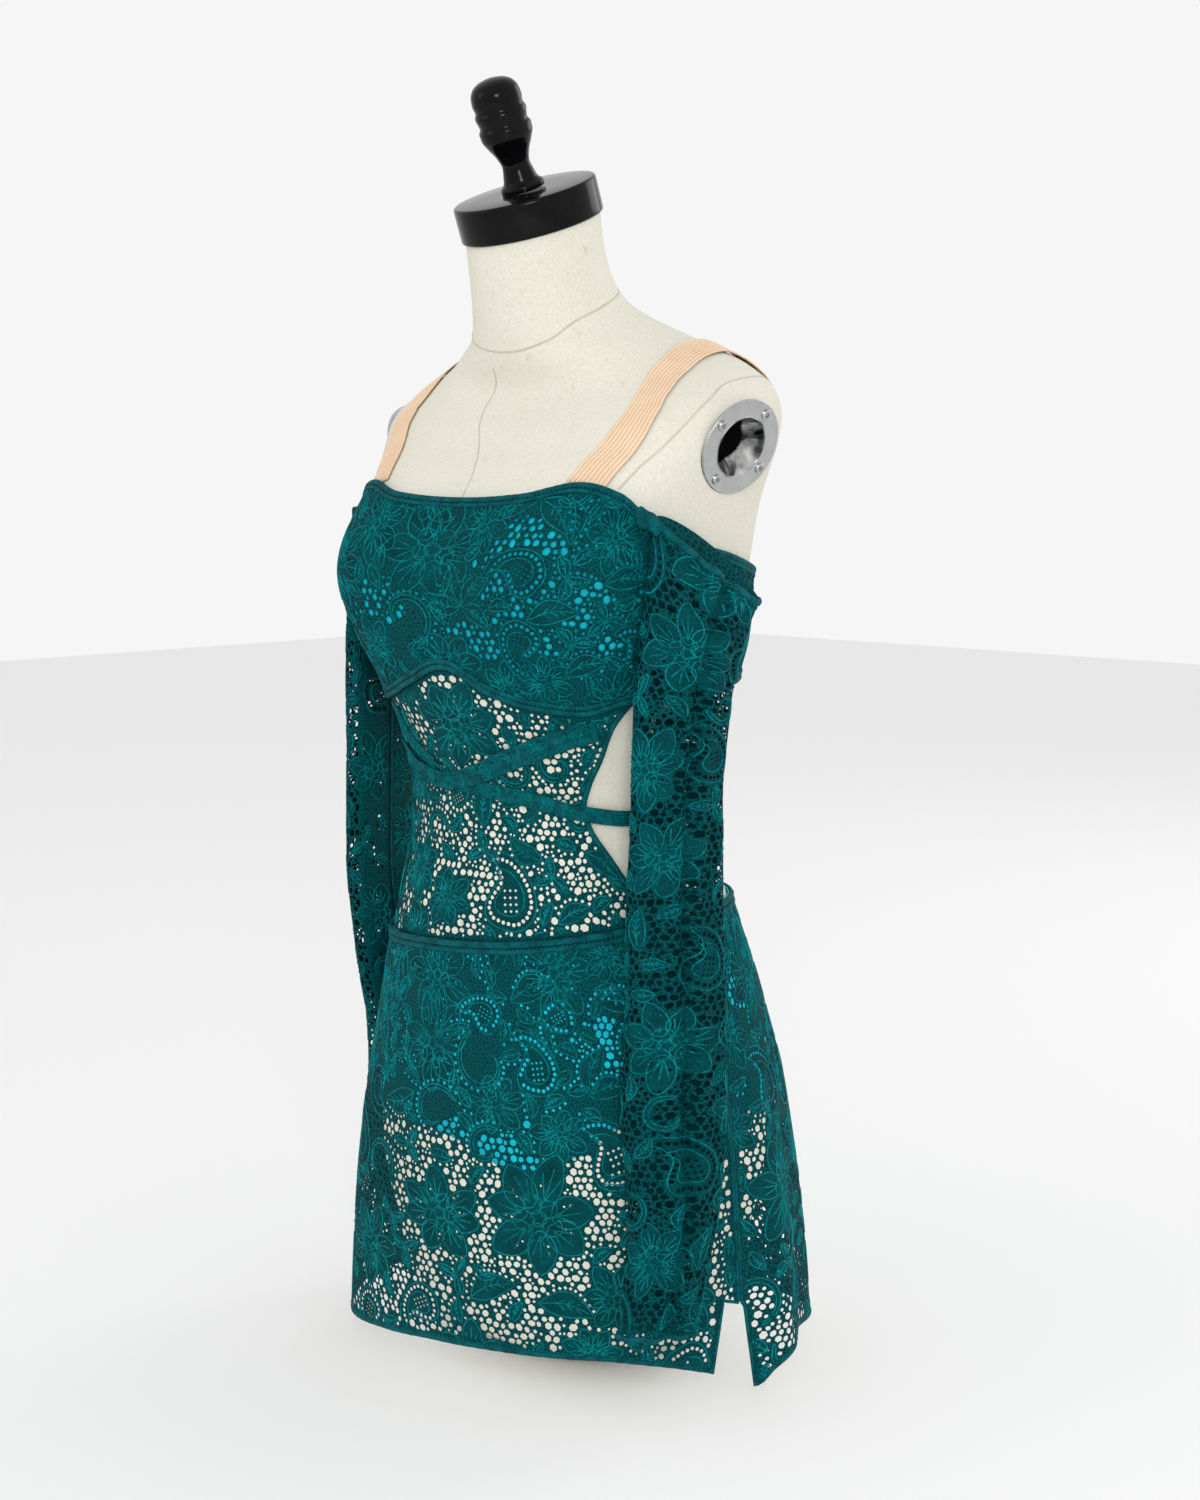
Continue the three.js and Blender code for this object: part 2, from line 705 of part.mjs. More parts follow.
const bandColumns = ["turn", "z", "width", "lift"];
function band(name, rows, steps, thick, material) {
  const path = table(bandColumns, rows).map((row, k) => ({ ...row, along: k }));
  const at = Object.fromEntries(bandColumns.map((column) => [column, through(path, "along", column)]));
  const place = (s) => skin(at.turn(s), at.z(s));
  const last = rows.length - 1;
  const near = 0.02;
  const point = (u, v, side) => {
    const s = last * u;
    const ahead = place(Math.min(s + near, last)).sub(place(Math.max(s - near, 0))).normalize();
    const centre = lifted(skin, at.turn(s), at.z(s), 1).sub(place(s));
    const sideways = centre.cross(ahead).normalize();
    const [turn, z] = slide(at.turn(s), at.z(s), sideways, (v - 0.5) * at.width(s));
    return lifted(skin, turn, z, at.lift(s) + (side ? thick : 0));
  };
  return clothWall(name, [steps, bandAcross], point, material);
}

const bandAcross = 2; // cells over a band's width
const strapSteps = 20;
const strapRows = [
  [35.5, 707.5, 31, 0.8],
  [36, 728, 30, 0.8],
  [37.5, 752, 28, 1],
  [42, 771, 26, 1.2],
  [54, 786, 25, 1.4],
  [72, 795, 25, 1.6],
  [96, 799, 25, 1.7],
  [120, 795, 25, 2],
  [134, 778, 25, 2.4],
  [140, 750, 25, 2],
  [145, 710, 25, 1.2],
  [149, 670, 25, 0.8],
  [151, 637, 25, 0.8],
];
for (const [word, side] of Object.entries(sides)) {
  const rows = strapRows.map(([turn, ...others]) => [side * turn, ...others]);
  costume.add(band(`shoulder_strap_${word}`, rows, strapSteps, elasticCloth, finishes.elastic));
}

const wrapSteps = 32;
const underRows = [
  [179, 462, 17, overPanel],
  [150, 460, 17, overPanel],
  [120, 455, 16, overPanel],
  [90, 452, 14, overPanel],
  [64, 452, 12, overPanel],
  [44, 456, 12, overPanel],
  [22, 466, 13, overPanel],
  [4, 471, 13, overPanel],
  [-10, 476, 13, overPanel],
  [-20, 490, 12, overPanel],
  [-29, 504, 12, overPanel],
  [-33, 518, 12, overPanel],
  [-33, 527, 11, overPanel],
];
const overRows = [
  [-179, 462, 17, overPanel],
  [-150, 467, 18, overPanel],
  [-120, 477, 20, overPanel],
  [-90, 485, 23, overPanel],
  [-64, 489, 25, overPanel],
  [-42, 487, 22, overPanel],
  [-24, 479, 16, overBand],
  [-9, 474, 15, overBand],
  [4, 482, 16, overBand],
  [16, 494, 17, overPanel],
  [31, 508, 18, overPanel],
  [42, 517, 18, overPanel],
  [50, 521, 16, overPanel],
];
costume.add(band("wrap_band_under", underRows, wrapSteps, laceCloth, finishes.lace));
costume.add(band("wrap_band_over", overRows, wrapSteps, laceCloth, finishes.lace));

// The sleeves: limp tubes of lace that hang from the bodice's sides with no arm in them

const sleeveCloth = 1.1;
const groove = { at: -4, width: 7, depth: 7, fade: 2 }; // the deep fold down a sleeve's outer face
const sleeveBend = 0.0034; // how far a sleeve's flat section bows, per mm² from its middle
const sleeveSquareness = 0.75; // 1 is an oval section, less is boxier
const lip = { rise: 14, dip: 11, share: 1 / 6 }; // the mouth's inner edge rises and its outer edge dips
const sleeveColumns = ["z", "x", "y", "heading", "half", "thick", "slope"];
const sleevePaths = {
  left: table(sleeveColumns, [
    [68, 178, -78, 38, 30, 13.5, 0],
    [100, 180, -73, 35, 31, 14, 0],
    [157, 182, -63, 30, 35, 15, 0],
    [236, 178, -58, 30, 41, 15, 0],
    [313, 171, -48, 26, 40, 15, 0],
    [398, 168, -45, 18, 40, 15, 0],
    [467, 167, -42, 14, 39, 15, 0.03],
    [543, 173, -42, 12, 42, 15, 0.12],
    [603, 178.4, -35, 11, 44, 14.5, 0.38],
    [648, 178.4, -18, 10, 47, 12.5, 0.63],
  ]),
  right: table(sleeveColumns, [
    [62, 204, 6, -2, 30, 12.5, 0],
    [100, 204, 4, -2, 31, 13, 0],
    [157, 201, 0, 0, 35, 14, 0],
    [236, 193, -8, 6, 38, 15, 0],
    [313, 185, -29, 10, 39, 15, 0],
    [398, 180, -42, 12, 40, 15, 0],
    [467, 177, -43, 12, 40, 15, 0.03],
    [543, 176, -42, 12, 43, 15, 0.12],
    [603, 178.4, -35, 11, 44, 14.5, 0.38],
    [648, 178.4, -18, 10, 47, 12.5, 0.63],
  ]),
};

const sleeveHole = [0.19, 0.09];
const sleeveFields = [
  [0.3, 0.2, 0.2, 0.09],
  [0.65, 0.45, 0.2, 0.08],
  [0.3, 0.7, 0.2, 0.07],
  [0.7, 0.86, 0.2, 0.05],
];
const sleeveFaces = [
  { face: "outer", from: 1, to: 179, cells: [9, 16], fields: sleeveFields },
  { face: "inner", from: 181, to: 359, cells: [6, 11], fields: [] },
];
for (const [word, side] of Object.entries(sides)) {
  const path = sleevePaths[word];
  const at = Object.fromEntries(sleeveColumns.map((column) => [column, through(path, "z", column)]));
  const [foot, top] = [path[0].z, path[path.length - 1].z];
  // Round a sleeve 0 is its front end, 90 its outer face and 270 the face by the body.
  const sleevePoint = (around, share, inset) => {
    const level = lerp(foot, top, share);
    const [c, s] = [Math.cos(rad(around)), Math.sin(rad(around))];
    const along = (at.half(level) - inset) * c;
    const fold = groove.depth * bell(along - groove.at, groove.width) * clamp(s * groove.fade, 0, 1);
    const section = Math.sign(s) * Math.abs(s) ** sleeveSquareness;
    const out = (at.thick(level) - inset) * section - sleeveBend * along ** 2 - fold;
    const heading = rad(at.heading(level));
    const lipRise = (s < 0 ? lip.rise : lip.dip) * -s * Math.max((share - 1 + lip.share) / lip.share, 0);
    return new THREE.Vector3(
      side * (at.x(level) - Math.sin(heading) * along + Math.cos(heading) * out),
      axisY + at.y(level) - Math.cos(heading) * along - Math.sin(heading) * out,
      level + at.slope(level) * along + lipRise,
    );
  };
  for (const { face, from, to, cells, fields } of sleeveFaces) {
    const point = (u, v, skinSide) => {
      const around = side > 0 ? lerp(from, to, u) : lerp(to, from, u);
      return sleevePoint(around, v, skinSide ? 0 : sleeveCloth);
    };
    const holeAt = netFields(fields, cells, sleeveHole);
    costume.add(clothWall(`sleeve_${word}_${face}`, cells, point, finishes.lace, { holeAt }));
  }
}

// A twisted knot gathers each sleeve's front corner against the bodice's side.
const knot = { x: 152.2, y: -73.7, z: 681, length: 17, twist: 25, back: 4, fall: 8, sides: 10 };
const knotSections = table(
  ["share", "tall", "deep"],
  [
    [0, 5, 3],
    [0.2, 8, 5],
    [0.5, 7, 4.4],
    [0.8, 8.5, 5],
    [1, 5, 3],
  ],
);
for (const [word, side] of Object.entries(sides)) {
  const rings = knotSections.map(({ share, tall, deep }) =>
    Array.from({ length: knot.sides }, (_, i) => {
      const around = rad((360 / knot.sides) * i);
      const [up, out] = [tall * Math.cos(around), deep * Math.sin(around)];
      const turn = rad(knot.twist * share);
      return new THREE.Vector3(
        side * (knot.x + knot.length * share),
        axisY + knot.y + knot.back * share - out * Math.cos(turn) - up * Math.sin(turn),
        knot.z - knot.fall * share + up * Math.cos(turn) - out * Math.sin(turn),
      );
    }),
  );
  if (side < 0) rings.reverse();
  costume.add(loft(`sleeve_${word}_knot`, rings, finishes.lace));
}

export default costume;
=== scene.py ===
# %% [markdown]
# # A lyrical dance costume on a dress form
# The costume is a lined bodice, a sheer midriff, a brief under a lace skirt, and two loose lace
# sleeves. It is shown on a limbless form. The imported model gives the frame: each piece below
# either gets a better finish or is made again, finer, on the same sections.

# %% Load the frame
import math
import random

import bmesh
import bpy
import numpy as np
from mathutils import Matrix, Vector, kdtree
from mathutils.geometry import delaunay_2d_cdt


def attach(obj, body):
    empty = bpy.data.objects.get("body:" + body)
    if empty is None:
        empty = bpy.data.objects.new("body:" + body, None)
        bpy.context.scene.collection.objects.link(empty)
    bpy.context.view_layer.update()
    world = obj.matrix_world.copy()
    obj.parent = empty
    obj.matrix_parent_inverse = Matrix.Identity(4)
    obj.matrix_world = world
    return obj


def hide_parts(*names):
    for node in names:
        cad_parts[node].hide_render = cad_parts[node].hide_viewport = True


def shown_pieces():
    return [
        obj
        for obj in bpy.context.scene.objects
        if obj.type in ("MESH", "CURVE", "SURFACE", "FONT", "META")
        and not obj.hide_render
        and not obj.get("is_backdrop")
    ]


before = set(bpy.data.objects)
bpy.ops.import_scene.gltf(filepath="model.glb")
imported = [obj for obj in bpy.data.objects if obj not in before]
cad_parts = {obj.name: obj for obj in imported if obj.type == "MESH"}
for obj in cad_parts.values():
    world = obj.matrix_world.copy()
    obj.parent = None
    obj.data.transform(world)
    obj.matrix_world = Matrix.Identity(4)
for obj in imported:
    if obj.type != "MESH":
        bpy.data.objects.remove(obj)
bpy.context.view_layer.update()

MM = 0.001

# %% [markdown]
# ## Finishes
# Cloth needs three things: a colour that drifts a little, a fine weave, and threads that stand
# up. Two shader groups give the drift and the weave to every cloth, each with its own values.

# %% Shader groups
def socket(group, name, way, kind="NodeSocketFloat", value=None):
    made = group.interface.new_socket(name=name, in_out=way, socket_type=kind)
    if value is not None:
        made.default_value = value


def add(tree, kind, inputs=None, **settings):
    """A shader node: its settings, then its inputs, each a value or another node's output."""
    node = tree.nodes.new(kind)
    for key, value in settings.items():
        setattr(node, key, value)
    for key, value in (inputs or {}).items():
        if isinstance(value, bpy.types.NodeSocket):
            tree.links.new(value, node.inputs[key])
        else:
            node.inputs[key].default_value = value
    return node


def blend(tree, factor, first, second):
    """Two colours mixed by a factor. Each is a value or another node's output."""
    mix = add(tree, "ShaderNodeMix", {"Factor": factor, "A": first, "B": second}, data_type="RGBA")
    return mix.outputs["Result"]


def drift_group():
    """A colour between two others, in soft patches and fine flecks."""
    group = bpy.data.node_groups.new("Colour drift", "ShaderNodeTree")
    socket(group, "Place", "INPUT", "NodeSocketVector")
    socket(group, "Dark", "INPUT", "NodeSocketColor", (0, 0, 0, 1))
    socket(group, "Light", "INPUT", "NodeSocketColor", (1, 1, 1, 1))
    socket(group, "Patches", "INPUT", value=30)
    socket(group, "Flecks", "INPUT", value=900)
    socket(group, "Colour", "OUTPUT", "NodeSocketColor")
    socket(group, "Shade", "OUTPUT")
    start = add(group, "NodeGroupInput")
    patches = add(group, "ShaderNodeTexNoise", {
        "Vector": start.outputs["Place"], "Scale": start.outputs["Patches"], "Detail": 3.0})
    flecks = add(group, "ShaderNodeTexNoise", {
        "Vector": start.outputs["Place"], "Scale": start.outputs["Flecks"], "Detail": 1.0})
    both = add(group, "ShaderNodeMath", {0: patches.outputs["Fac"], 1: flecks.outputs["Fac"]})
    spread = add(group, "ShaderNodeMapRange", {
        "Value": both.outputs[0], "From Min": 0.72, "From Max": 1.28}).outputs["Result"]
    colour = blend(group, spread, start.outputs["Dark"], start.outputs["Light"])
    add(group, "NodeGroupOutput", {"Colour": colour, "Shade": spread})
    return group


def weave_group():
    """Threads that cross: a height that goes up and down along both directions of the cloth."""
    group = bpy.data.node_groups.new("Weave", "ShaderNodeTree")
    socket(group, "Place", "INPUT", "NodeSocketVector")
    socket(group, "Threads per metre", "INPUT", value=900)
    socket(group, "Height", "OUTPUT")
    start = add(group, "NodeGroupInput")
    waves = []
    for direction in ("X", "Y"):
        waves.append(add(group, "ShaderNodeTexWave", {
            "Vector": start.outputs["Place"], "Scale": start.outputs["Threads per metre"],
            "Distortion": 1.5, "Detail": 1.0}, bands_direction=direction))
    high = add(group, "ShaderNodeMath", {
        0: waves[0].outputs["Fac"], 1: waves[1].outputs["Fac"]}, operation="MAXIMUM")
    add(group, "NodeGroupOutput", {"Height": high.outputs[0]})
    return group


drift, weave = drift_group(), weave_group()
print("shader groups:", drift.name, "and", weave.name)

# %% [markdown]
# Each finish starts from the groups. Lace and linen then blend in a pattern of their own, and the elastic
# blends in painted shade along the grooves between its ribs.

# %% Materials
def material(name, roughness, **sockets):
    made = bpy.data.materials.new(name)
    made.use_nodes = True
    shader = made.node_tree.nodes["Principled BSDF"]
    shader.inputs["Roughness"].default_value = roughness
    for key, value in sockets.items():
        shader.inputs[key.replace("_", " ")].default_value = value
    return made, made.node_tree, shader


def drifting(tree, place, dark, light, patches, flecks):
    return add(tree, "ShaderNodeGroup", {"Place": place, "Dark": (*dark, 1), "Light": (*light, 1),
                                         "Patches": patches, "Flecks": flecks}, node_tree=drift)


def flat_place(tree):
    return add(tree, "ShaderNodeUVMap", uv_map="flat").outputs["UV"]


def object_place(tree):
    return add(tree, "ShaderNodeTexCoord").outputs["Object"]


def cloth(name, dark, light, roughness, threads, depth, patches=30.0, flecks=900.0, flat=True, **sockets):
    """A cloth finish. It follows the piece's own flat map, or the object's place."""
    made, tree, shader = material(name, roughness, **sockets)
    place = flat_place(tree) if flat else object_place(tree)
    colour = drifting(tree, place, dark, light, patches, flecks)
    threading = add(tree, "ShaderNodeGroup", {"Place": place, "Threads per metre": threads}, node_tree=weave)
    bump = add(tree, "ShaderNodeBump", {
        "Height": threading.outputs["Height"], "Strength": 0.5, "Distance": depth * MM})
    tree.links.new(colour.outputs["Colour"], shader.inputs["Base Color"])
    tree.links.new(bump.outputs["Normal"], shader.inputs["Normal"])
    return made


def patterned(made, pattern):
    """Puts a pattern over a finish: pattern(tree, colour so far) gives the new colour."""
    tree = made.node_tree
    base = tree.nodes["Principled BSDF"].inputs["Base Color"]
    tree.links.new(pattern(tree, base.links[0].from_socket), base)
    return made


def lace_finish(name, net, petal_dark, petal_light):
    """Lace: darker, sheerer cloth inside the petals, and lighter thread in the net."""
    cells_per_metre, shade_green, shade_blue = 330.0, 0.42, 0.46

    def netting(tree, petals):
        petal = add(tree, "ShaderNodeAttribute", attribute_name="petal")
        cells = add(tree, "ShaderNodeTexVoronoi", {"Vector": flat_place(tree), "Scale": cells_per_metre},
                    feature="DISTANCE_TO_EDGE", voronoi_dimensions="2D")
        bar = add(tree, "ShaderNodeMapRange", {
            "Value": cells.outputs["Distance"], "From Min": 0.06, "From Max": 0.2})
        red, green, blue = net
        threads = blend(tree, bar.outputs["Result"], (*net, 1),
                        (red, green * shade_green, blue * shade_blue, 1))
        return blend(tree, petal.outputs["Fac"], threads, petals)
    return patterned(cloth(name, petal_dark, petal_light, 0.7, 620, 0.2, patches=45.0, flecks=700.0,
                           Specular_IOR_Level=0.04), netting)


lace = lace_finish("Teal lace", (0.0002, 0.084, 0.092), (0.0001, 0.028, 0.034), (0.0002, 0.080, 0.090))
lace_cord = cloth("Lace cord", (0.0002, 0.075, 0.084), (0.0005, 0.270, 0.285), 0.55, 1500, 0.1, patches=70.0,
                  flecks=420.0, flat=False, Specular_IOR_Level=0.05)
lace_roll = cloth("Rolled lace edge", (0.0002, 0.034, 0.044), (0.0005, 0.135, 0.150), 0.6, 900, 0.3,
                  patches=120.0, flat=False, Specular_IOR_Level=0.06)
lining_cloth = cloth("Turquoise lining", (0.0005, 0.320, 0.430), (0.001, 0.520, 0.640), 0.5, 1800, 0.05,
                     Specular_IOR_Level=0.12)


strap_ribs, strap_map = 9, 25


def elastic_finish():
    """Ribbed elastic: the ribs share the width of the flat map, with shade painted into the grooves between
    them.
    """
    def ribs(tree, face):
        across = add(tree, "ShaderNodeSeparateXYZ", {0: flat_place(tree)})
        phase = add(tree, "ShaderNodeMath", {
            0: across.outputs["Y"], 1: strap_ribs * math.pi / (strap_map * MM)}, operation="MULTIPLY")
        wave = add(tree, "ShaderNodeMath", {0: phase.outputs[0]}, operation="SINE")
        rib = add(tree, "ShaderNodeMath", {0: wave.outputs[0]}, operation="ABSOLUTE")
        # Painted shade: the grooves between the ribs are darkened towards a deep brown.
        painted_groove_shade = add(tree, "ShaderNodeMapRange", {
            "Value": rib.outputs[0], "From Max": 0.62, "To Min": 0.75, "To Max": 0.0})
        return blend(tree, painted_groove_shade.outputs["Result"], face, (0.50, 0.27, 0.13, 1))
    return patterned(cloth("Beige elastic", (0.80, 0.57, 0.38), (0.90, 0.70, 0.50), 0.7, 1600, 0.1), ribs)


elastic_cloth = elastic_finish()
thread = cloth("Teal thread", (0.001, 0.16, 0.18), (0.002, 0.32, 0.34), 0.45, 4000, 0.05, flat=False)


def linen_finish():
    """Linen over a shell: even ivory, with a few faint stains and a fine, shallow weave."""
    def stains(tree, ivory):
        spots = add(tree, "ShaderNodeTexNoise", {
            "Vector": object_place(tree), "Scale": 62.0, "Detail": 4.0, "Roughness": 0.7})
        mask = add(tree, "ShaderNodeMapRange", {
            "Value": spots.outputs["Fac"], "From Min": 0.63, "From Max": 0.78, "To Max": 0.5})
        return blend(tree, mask.outputs["Result"], ivory, (0.46, 0.38, 0.25, 1))
    return patterned(cloth("Ivory linen", (0.655, 0.630, 0.530), (0.750, 0.735, 0.645), 0.85, 1300, 0.03,
                           patches=5.0, flecks=500.0, flat=False), stains)


linen = linen_finish()
# The seam rolls get a darker linen than the form: painted shade along the seams.
seam_shade_linen = cloth("Painted seam shade", (0.520, 0.490, 0.395), (0.620, 0.595, 0.500), 0.9, 1300, 0.03, flat=False)
hollow, _, _ = material("Socket shadow", 0.9, Base_Color=(0.001, 0.001, 0.001, 1), Specular_IOR_Level=0.05)


def wear_and_reflection(name, dark, light, roughness, patches, flecks, spread, **sockets):
    """A hard finish whose colour and gloss drift in patches: wear from handling on the lacquer and the plate,
    and painted reflections on the chromed cone.
    """
    made, tree, shader = material(name, roughness, **sockets)
    colour = drifting(tree, object_place(tree), dark, light, patches, flecks)
    gloss = add(tree, "ShaderNodeMapRange", {"Value": colour.outputs["Shade"], "To Min": roughness - spread,
                                             "To Max": roughness + spread})
    tree.links.new(colour.outputs["Colour"], shader.inputs["Base Color"])
    tree.links.new(gloss.outputs["Result"], shader.inputs["Roughness"])
    return made


lacquer = wear_and_reflection("Black lacquer", (0.0015, 0.0015, 0.0018), (0.004, 0.004, 0.005), 0.11, 40, 600, 0.03,
               Specular_IOR_Level=0.13)
metal = wear_and_reflection("Brushed plate", (0.40, 0.41, 0.41), (0.50, 0.51, 0.51), 0.28, 90, 1500, 0.05, Metallic=1.0)
# The chromed cone swings from near black to light grey in broad patches: painted reflections.
chrome = wear_and_reflection("Chromed cone", (0.05, 0.05, 0.052), (0.62, 0.62, 0.61), 0.10, 48, 90, 0.03, Metallic=1.0)
print("materials:", len(bpy.data.materials))

# %% [markdown]
# ## The form's skin
# Everything rests on one surface: a stack of rounded sections, in millimetres. A place on it is
# a turn in degrees (0 is the centre front, 90 the left side) and a height. The curves through
# the table never overshoot, so the skin stays smooth between the rows.

# %% Curves and the skin
def curve(along, values):
    """A smooth curve through a table's column that never overshoots."""
    x, y = np.array(along, float), np.array(values, float)
    slope = np.diff(y) / np.diff(x)
    lean = np.concatenate([[slope[0]], np.zeros(len(x) - 2), [slope[-1]]])
    before, after = slope[:-1], slope[1:]
    same = before * after > 0
    lean[1:-1][same] = 2 * before[same] * after[same] / (before + after)[same]

    def at(where):
        where = np.clip(np.asarray(where, float), x[0], x[-1])
        k = np.clip(np.searchsorted(x, where, side="right") - 1, 0, len(x) - 2)
        span = x[k + 1] - x[k]
        t = (where - x[k]) / span
        return ((2 * t**3 - 3 * t**2 + 1) * y[k] + (t**3 - 2 * t**2 + t) * span * lean[k]
                + (3 * t**2 - 2 * t**3) * y[k + 1] + (t**3 - t**2) * span * lean[k + 1])
    return at


def columns(names, rows):
    """A table as smooth curves, one for each named column, along its first column."""
    values = list(zip(*rows))
    return {name: curve(values[0], column) for name, column in zip(names, values)}


def pairs(rows):
    return curve(*zip(*rows))


def bell(distance, width):
    return np.exp(-((distance / width) ** 2))


def wrapped(turn):
    return (np.asarray(turn, float) + 180) % 360 - 180


axis_y = -25
form = columns(["z", "half_width", "front", "back", "centre_y", "tilt", "squareness"], [
    (0, 54, 38, 72, 0, 0, 2.1), (8, 78, 52, 88, 0, 0, 2.1), (18, 100, 70, 98, 0, 0, 2.1),
    (30, 124, 90, 112, 0, 0, 2.1), (52, 140, 102, 126, 0, 0, 2.1), (85, 151, 110, 136, 0, 0, 2.1),
    (172, 168, 122, 156, 0, 0, 2.1), (232, 167, 120, 157, 0, 0, 2.1), (292, 161, 117, 146, 0, 0, 2.1),
    (342, 152, 113, 127, 0, 0, 2.1), (387, 140, 107, 110, 0, 0, 2.1), (424, 131, 99, 93, 0, 0, 2.1),
    (462, 131, 98, 93, 0, 0, 2.1), (502, 138, 106, 99, 0, 0, 2.15), (542, 147, 118, 107, 0, 0, 2.2),
    (582, 152, 123, 114, 0, 0, 2.3), (627, 153, 121, 120, 0, 0, 2.4), (662, 156, 117, 121, 1, 0, 2.5),
    (690, 161, 110, 117, 4, 0, 2.6), (712, 169, 101, 107, 9, 0, 2.75), (734, 178, 90, 95, 15, 2, 2.9),
    (752, 182, 83, 89, 18, 4, 2.9), (768, 177, 77, 84, 20, 8, 2.8), (781, 161, 71, 78, 19, 12, 2.6),
    (792, 139, 66, 72, 15, 16, 2.4), (803, 113, 62, 66, 7, 19, 2.2), (815, 89, 59, 60, -4, 21, 2.1),
    (827, 70, 57, 57.5, -12, 22, 2), (841, 60.5, 55.5, 55, -18, 21.5, 2), (857, 56, 54.5, 53.5, -22.5, 21, 2),
    (877, 54, 53.5, 53, -27, 20.5, 2), (899.5, 53.5, 53.5, 53.5, -30.4, 20, 2)])


def skin(turn, z):
    """The form's skin, as points in millimetres."""
    turn, z = np.broadcast_arrays(np.asarray(turn, float), np.asarray(z, float))
    s, c = np.sin(np.radians(turn)), np.cos(np.radians(turn))
    power = 2 / form["squareness"](z)
    across = form["half_width"](z) * np.sign(s) * np.abs(s) ** power
    depth = np.where(c > 0, form["front"](z), form["back"](z))
    mound = 29 * bell(np.abs(wrapped(turn)) - 37, 28) * bell(z - 632, np.where(z < 632, 60, 62))
    ahead = depth * np.sign(c) * np.abs(c) ** power + mound * c
    tilt = np.radians(form["tilt"](z))
    return np.stack([across + mound * s, axis_y + form["centre_y"](z) - ahead * np.cos(tilt),
                     z - ahead * np.sin(tilt)], -1)


def unit(vectors):
    return vectors / np.maximum(np.linalg.norm(vectors, axis=-1, keepdims=True), 1e-9)


def normal_of(surface, turn, z):
    return unit(np.cross(surface(turn + 1, z) - surface(turn - 1, z),
                         surface(turn, z + 1.5) - surface(turn, z - 1.5)))


def lifted(surface, turn, z, by):
    return surface(turn, z) + normal_of(surface, turn, z) * np.asarray(by, float)[..., None]


lining_out, lace_out = 2.5, 3.9
print("bust width in mm:", round(float(np.ptp(skin(np.arange(0, 360, 5), 632)[:, 0]))))

# %% [markdown]
# Every piece is put in the scene in one way: a mesh, a finish, the body that it rides on, and the solids that
# it replaces. Most cloth is a flat grid that is moved onto a surface, so it keeps a flat map.

# %% Mesh helpers
def mesh_from(bm, name):
    mesh = bpy.data.meshes.new(name)
    bm.to_mesh(mesh)
    bm.free()
    return mesh


def mesh_of(name, points, faces):
    """A mesh of points in millimetres, with all its faces turned outwards."""
    mesh = bpy.data.meshes.new(name)
    mesh.from_pydata(points * MM, [], faces)
    bm = bmesh.new()
    bm.from_mesh(mesh)
    bmesh.ops.recalc_face_normals(bm, faces=bm.faces)
    bm.to_mesh(mesh)
    bm.free()
    return mesh


def finish_piece(mesh, name, finish, node=None):
    """Puts a mesh in the scene as a piece that rides on the body."""
    piece = bpy.data.objects.new(name, mesh)
    bpy.context.collection.objects.link(piece)
    mesh.materials.append(finish)
    mesh.shade_smooth()
    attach(piece, "root")
    if node:
        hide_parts(*([node] if isinstance(node, str) else node))
    return piece


def add_wall(piece, thick):
    wall = piece.modifiers.new("Wall", "SOLIDIFY")
    wall.thickness, wall.offset = thick * MM, -1


def shaped_grid(name, cells, place, size, finish, node=None, closed=False, thick=0.0):
    """A flat grid that is moved onto a surface: place(u, v) gives its points in millimetres."""
    bm = bmesh.new()
    bmesh.ops.create_grid(bm, x_segments=cells[0], y_segments=cells[1], size=0.5)
    flat = bm.loops.layers.uv.new("flat")
    for face in bm.faces:
        for loop in face.loops:
            loop[flat].uv = ((loop.vert.co.x + 0.5) * size[0] * MM, (loop.vert.co.y + 0.5) * size[1] * MM)
    spots = np.array([vert.co[:2] for vert in bm.verts]) + 0.5
    for vert, point in zip(bm.verts, place(spots[:, 0], spots[:, 1]) * MM):
        vert.co = point
    if closed:
        bmesh.ops.remove_doubles(bm, verts=bm.verts, dist=1e-6)
        bmesh.ops.holes_fill(bm, edges=[edge for edge in bm.edges if edge.is_boundary])
        bmesh.ops.recalc_face_normals(bm, faces=bm.faces)
    piece = finish_piece(mesh_from(bm, name), name, finish, node)
    if thick:
        add_wall(piece, thick)
    return piece


def triangles_in(piece):
    shown = piece.evaluated_get(bpy.context.evaluated_depsgraph_get())
    mesh = shown.to_mesh()
    mesh.calc_loop_triangles()
    count = len(mesh.loop_triangles)
    shown.to_mesh_clear()
    return count


def area_of(piece):
    """The area of one side of a piece's cloth, in square metres."""
    return round(sum(face.area for face in piece.data.polygons), 4)

# %% [markdown]
# ## The dress form
# A real form is linen glued over a moulded shell, with its pattern pieces joined by thin seams.
# One circle is extruded up through the sections, and two round seats are cut for the arm plates.

# %% The form's body
def rings_up(name, heights, count, ring):
    """A closed body: a circle that is extruded from ring to ring, with a lid at each end."""
    bm = bmesh.new()
    bmesh.ops.create_circle(bm, segments=count, radius=1, cap_ends=False)
    turns = [math.degrees(math.atan2(v.co.x, -v.co.y)) for v in bm.verts]
    order = list(bm.verts)
    edges = list(bm.edges)
    for k, height in enumerate(heights):
        if k:
            grown = bmesh.ops.extrude_edge_only(bm, edges=edges)["geom"]
            fresh = [item for item in grown if isinstance(item, bmesh.types.BMVert)]
            edges = [item for item in grown if isinstance(item, bmesh.types.BMEdge)
                     and all(v in fresh for v in item.verts)]
            order = [next(e.other_vert(old) for e in old.link_edges if e.other_vert(old) in fresh)
                     for old in order]
        for vert, point in zip(order, ring(np.array(turns), height) * MM):
            vert.co = point
    bmesh.ops.holes_fill(bm, edges=[edge for edge in bm.edges if edge.is_boundary])
    bmesh.ops.recalc_face_normals(bm, faces=bm.faces)
    return mesh_from(bm, name)


plate_radius, plate_drop, plate_seat, socket_radius = 37.3, math.radians(21), 2.2, 25


